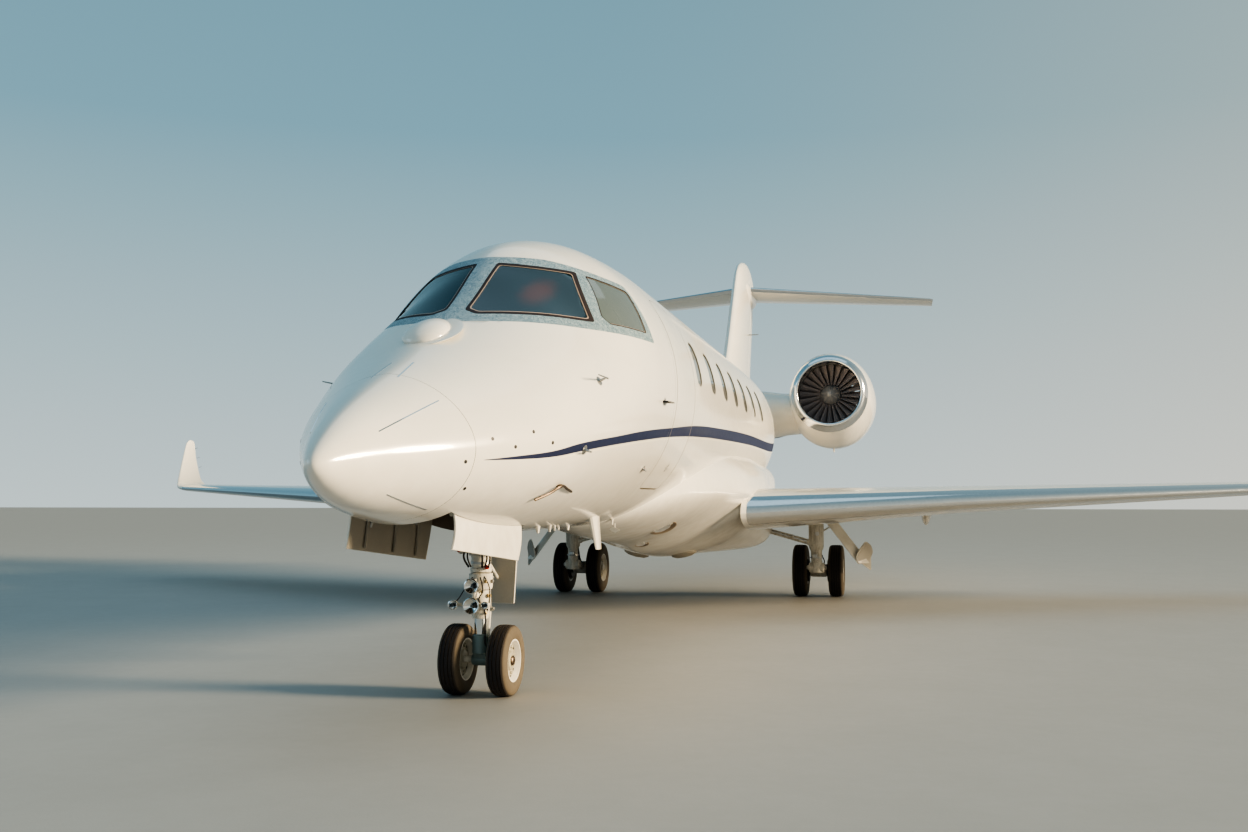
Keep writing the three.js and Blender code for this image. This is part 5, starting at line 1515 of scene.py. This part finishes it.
# Small things on the skin

def belly_spot(x, s):
    """The place on the fairing below a point in plan, and its outward direction."""
    def height(x1, s1):
        half, low, middle, _, keel = (f(s1) for f in belly)
        return middle + (low - middle) * (1 - min(1, abs(x1 / half)) ** (2 / keel)) ** (keel / 2)
    step = .004
    across = (height(x + step, s) - height(x - step, s)) / (2 * step)
    along = (height(x, s + step) - height(x, s - step)) / (2 * step)
    return at(x, s, height(x, s)), Vector((across, along, -1)).normalized()


def along_hull(points, steps=10):
    places = []
    for a, b in zip(points, points[1:]):
        places += [on_hull(*(p + (q - p) * k / steps for p, q in zip(a, b))) for k in range(steps)]
    return places + [on_hull(*points[-1])]


DIVERTERS = [((.198, .362, 1.733), (.348, .824, 1.933)), ((.206, .455, 1.4), (.279, .832, 1.316)),
             ((.083, .853, 2.076), (.071, 1.108, 2.193))]
strips = both(joined(*(ribbon(along_hull(line), .009, .002) for line in DIVERTERS)))
piece("diverter_strips", strips, CHROME)

# The blister ahead of the windshield: a teardrop that tapers aft, on a thin plate
blister_place, blister_out = on_hull(-.045, 1.59, 2.42)
blister_along = (Vector((0, 1, 0)) - blister_out * blister_out.y).normalized()
blister_side = blister_along.cross(blister_out)


def blister_form(half, front, rear, tall, aside, power):
    rings = []
    for turn in (math.pi * k / 16 for k in range(1, 16)):
        ahead = turn < math.pi / 2
        reach = -math.cos(turn) * (front if ahead else rear)
        wide = math.sin(turn) ** (1 if ahead else power)
        ring = []
        for a in (2 * math.pi * i / 36 for i in range(36)):
            up = tall * wide * math.sin(a) if a < math.pi else .02 * math.sin(a)
            ring.append(blister_place + blister_along * reach + blister_out * up
                        + blister_side * (aside + half * wide * math.cos(a)))
        rings.append(ring)
    return skin(rings)


blister = joined(blister_form(.155, .17, .24, .072, -.01, 1.3), blister_form(.19, .2, .28, .005, .045, 1.3))
piece("nose_blister", blister, PAINT)


def probe(x, s, z, out, length, radius=.007, mast=.012):
    """A short mast that carries a tube pointing ahead."""
    base, normal = on_hull(x, s, z)
    tip_at = base + normal * out
    foot = turned([(-.003, 0), (-.003, .03), (.0015, .032), (.003, .024), (.003, 0)], base, normal, 20)
    arm = rod(base - normal * .004, tip_at, mast, radius, 12)
    reach = Vector((0, length, 0))
    tube = rod(tip_at + reach / 4, tip_at - reach, radius, radius * .6, 12)
    return joined(foot, arm, tube)


probes = both(joined(probe(.93, 2.2, 2.165, .055, .2), probe(.917, 1.899, 1.692, .04, .1, .006),
                     probe(.922, 3.639, 1.613, .03, .03, .006), probe(1.113, 3.58, 2.134, .045, .07, .006)))
piece("air_probes", probes, STEEL)
MAST = [(.656, 1.63, 1.385, .02), (.72, 1.72, 1.43, .024), (.777, 1.802, 1.473, .022),
        (.772, 1.96, 1.452, .016), (.757, 2.139, 1.428, .004)]
mast_line = [on_hull(*place)[0] for place in MAST]
mast_stem = rod(on_hull(.75, 1.8, 1.46, -.004)[0], mast_line[2], .012)
piece("drain_mast", both(joined(pipe(mast_line, .009), mast_stem)), BRASS)
slot_line = along_hull([(.914, 3.67, 1.609), (.922, 3.72, 1.609)], 3)
piece("red_slot", ribbon(slot_line, .022, .002), RED_CAP)


PORTS = [(.608, 1.007, 1.722), (.693, 1.169, 1.682), (.755, 1.322, 1.779), (.824, 1.494, 1.72),
         (.511, .831, 1.585), (.473, .917, 1.435)]
PORT = [(-.003, 0), (-.003, .012), (.0015, .0108), (.0015, 0)]
ports = joined(*(turned(PORT, *on_hull(*place), 18) for place in PORTS))
piece("static_ports", both(ports), DARK_METAL)

vane_base, vane_out = on_hull(1.113, 3.58, 2.134)
vane = skin([[vane_base + vane_out * h + Vector((0, s * w, v * w)) for s, v in (
    (-.07, -.008), (.08, -.004), (.08, .004), (-.07, .008))] for h, w in ((-.01, 1), (.05, .8), (.075, .4))])
piece("vane_blade", both(vane), DARK_METAL)

# Under the belly: landing lights, blade aerials and drains
LIGHT = [(-.004, 0), (-.004, .4), (-.001, .8), (.001, .84), (-.012, .84), (-.012, 0)]
LIGHT_RIM = [(-.01, .3), (-.01, 1.3), (.002, 1.28), (.003, 1.2), (-.006, .9), (-.006, .3), (-.01, .3)]
lights, light_rims = [], []
for x, s, size in ((.54, 6.38, .11), (-.54, 6.38, .11), (.16, 7.1, .06)):
    place, out = belly_spot(x, s)
    out = (out + Vector((0, -.22, 0))).normalized()
    lights.append(turned([(a, r * size) for a, r in LIGHT], place - Vector((0, .06, 0)), out, 36))
    rim = turned([(a, r * size) for a, r in LIGHT_RIM], place, out, 40)
    bmesh.ops.scale(rim, vec=(1, 1.5, 1), space=Matrix.Translation(-place), verts=rim.verts)
    light_rims.append(rim)
piece("landing_lights", joined(*lights), POLISHED)
# The rims' dark brown is painted shade of the recess round each light.
piece("landing_light_rims", joined(*light_rims), BAY_SHADE)


def fin_blade(x, s, z, chord, tall, sweep, thick=.016):
    """A small swept blade that stands down from the belly or up from the roof."""
    rings = []
    for t in (k / 5 for k in range(6)):
        width = chord * (1 - .45 * t)
        rings.append([at(x + h * thick * (1 - .6 * t) * 2, s + sweep * t + f * width, z + tall * t)
                      for f, h in section(0, 8)])
    return skin(rings)


SMALL_DRAINS = [(.295, 2.86, .07), (.313, 3.1, .05), (.29, 3.3, .04), (.234, 3.6, .05), (.256, 3.8, .08),
                (-.2, 3.4, .1)]
drains = [fin_blade(x, s, 1.18, long, -.04 - .2 * long, .02, .02) for x, s, long in SMALL_DRAINS]
drains += [fin_blade(.445, 3.8, 1.25, .32, -.29, .22, .036), fin_blade(.395, 4.75, 1.2, .06, -.05, .02)]
piece("belly_blades", joined(*drains), PAINT)
aerials = [fin_blade(0, s, 3.475, chord, tall, sweep) for s, chord, tall, sweep in (
    (4.6, .3, .18, .16), (7.9, .26, .16, .14), (10.2, .2, .09, .08))]
piece("roof_aerials", joined(*aerials), PAINT)
diamond = prism_y([(.345, 1.105), (.39, 1.13), (.455, 1.1), (.405, 1.072)], 4.85, 4.862)
diamond_stem = rods([((.4, 4.856, 1.1), (.4, 4.856, 1.16), .006)])
piece("belly_plate", joined(diamond, diamond_stem), PAINT)
bump = turned([(-.02, 0), (-.02, .17), (.012, .15), (.035, .1), (.045, 0)], *belly_spot(.3, 8.9))
piece("belly_bump", both(bump), BAY_PAINT)


# Lights at the tips and on the roof, static wicks on the trailing edges

def dome(x, s, z, half, ahead, aft, tall):
    """A rounded lens with its own reach ahead and aft."""
    bm = bmesh.new()
    bmesh.ops.create_uvsphere(bm, u_segments=24, v_segments=14, radius=1)
    for v in bm.verts:
        v.co = at(x + half * v.co.x, s + (aft if v.co.y > 0 else ahead) * v.co.y, z + tall * v.co.z)
    return bm


def wick(x, s, z, length, rise, radius=.0035):
    """A static wick on a trailing edge."""
    return rod(at(x, s - .01, z), at(x, s + length, z + rise), radius, .002, 8)


for side, sign, finish in (("port", 1, RED_LAMP), ("starboard", -1, GREEN_LAMP)):
    glow = dome(sign * 8.995, 12.345, 1.568, .04, .085 * .55, .085, .026)
    piece(f"tip_light_{side}", glow, finish)
wicks = [wick(x, mixed_row(WING, x)[2], mixed_row(WING, x)[4], .1, .006) for x in (7.0, 7.6, 8.2, 8.7)]
wicks += [wick(x, mixed_row(TAILPLANE, x)[2], TAILPLANE_HEIGHT, .1, .004) for x in (2.2, 2.8)]
for share in (.35, .6, .85):
    row = [a + (b - a) * share for a, b in zip(WINGLET[3], WINGLET[5])]
    wicks.append(wick(row[0], row[2] + row[3], row[1], .07, .02, .003))
piece("static_wicks", both(joined(*wicks)), DARK_METAL)
piece("fin_probe", rod(at(.08, 17.1, 4.55), at(.29, 17.14, 4.56), .014, .008, 10), STEEL)
piece("roof_beacon", dome(0, 8.9, 3.478, .05, .09, .09, .055), RED_LAMP)

# Cowl details: a vent low on the outside and a drain under each engine
vent = block(ENGINE_ACROSS - .05, ENGINE_ACROSS + .05, ENGINE_STATION + .36, ENGINE_STATION + .42,
             ENGINE_HEIGHT - .7, ENGINE_HEIGHT - .6, .006)
pair("cowl_vent", vent, DARK_METAL, "dark_panel")
drain = fin_blade(ENGINE_ACROSS, ENGINE_STATION + 1.25, ENGINE_HEIGHT - .79, .16, -.07, .05, .02)
pair("cowl_drain", drain, PAINT, "white_paint")


# Floor, light and camera

def add_light(name, kind, energy, color, aim):
    """A light that shines along a direction."""
    light = bpy.data.lights.new(name, kind)
    light.energy, light.color = energy, color
    holder = bpy.data.objects.new(name, light)
    holder.rotation_euler = aim.to_track_quat("-Z", "Y").to_euler()
    bpy.context.scene.collection.objects.link(holder)
    return holder


def area_light(name, place, target, size, energy, color):
    holder = add_light(name, "AREA", energy, color, Vector(target) - Vector(place))
    holder.location = place
    holder.data.shape, holder.data.size, holder.data.size_y = "RECTANGLE", *size


def build_stage():
    bm = bmesh.new()
    bmesh.ops.create_grid(bm, x_segments=2, y_segments=2, size=160)
    mesh = bpy.data.meshes.new("floor")
    bm.to_mesh(mesh)
    bm.free()
    f = Finish("floor", (.4, .39, .375), .65)
    f.put("Base Color", f.mix(f.noise(1.5, 4), (.375, .365, .35), (.42, .41, .395)))
    f.put("Roughness", f.noise(9, 3).spread(.55, .75))
    f.bump(f.noise(60, 3), .002, .3)
    mesh.materials.append(f.material)
    floor = bpy.data.objects.new("floor", mesh)
    bpy.context.scene.collection.objects.link(floor)

    world = bpy.data.worlds.new("studio")
    world.use_nodes = True
    nodes, links = world.node_tree.nodes, world.node_tree.links
    way = nodes.new("ShaderNodeTexCoord")
    split = nodes.new("ShaderNodeSeparateXYZ")
    tint = nodes.new("ShaderNodeMix")
    tint.data_type = "RGBA"
    side = nodes.new("ShaderNodeMapRange")
    side.interpolation_type = "SMOOTHSTEP"
    side.inputs["From Min"].default_value, side.inputs["From Max"].default_value = -.3, .9
    links.new(way.outputs["Generated"], split.inputs[0])
    links.new(split.outputs[0], side.inputs["Value"])
    links.new(side.outputs[0], tint.inputs[0])
    for socket, low, middle, high in ((6, (.66, .76, .77), (.26, .46, .55), (.1, .23, .32)),
                                      (7, (.95, .85, .7), (.62, .62, .54), (.24, .36, .4))):
        ramp = nodes.new("ShaderNodeValToRGB")
        links.new(split.outputs[2], ramp.inputs[0])
        links.new(ramp.outputs[0], tint.inputs[socket])
        ramp.color_ramp.elements[0].color = (*low, 1)
        ramp.color_ramp.elements[1].color = (*high, 1)
        ramp.color_ramp.elements.new(.3).color = (*middle, 1)
    links.new(tint.outputs[2], nodes["Background"].inputs["Color"])
    nodes["Background"].inputs["Strength"].default_value = .75
    bpy.context.scene.world = world
    sun = add_light("key", "SUN", 5.6, (1, .8, .53), -Vector((1, .04, .24)))
    sun.data.angle = math.radians(13)
    area_light("fill", (-24, -16, 9), (0, -4, 2), (14, 10), 500, (.6, .82, 1))
    area_light("top", (0, -2, 22), (0, -2, 0), (22, 30), 900, (.75, .9, 1))


def build_camera():
    camera = bpy.data.cameras.new("camera")
    camera.sensor_width, camera.lens = 36, 33.81
    camera.clip_start, camera.clip_end = .05, 500
    holder = bpy.data.objects.new("camera", camera)
    holder.location = (2.8826, -15.3961, 1.3734)
    holder.rotation_euler = tuple(math.radians(angle) for angle in (94.07, 0, 13.16))
    bpy.context.scene.collection.objects.link(holder)
    bpy.context.scene.camera = holder


build_stage()
build_camera()
bpy.context.scene.view_settings.view_transform = "AgX"
bpy.context.scene.view_settings.look = "AgX - High Contrast"
bpy.context.scene.view_settings.exposure = .06
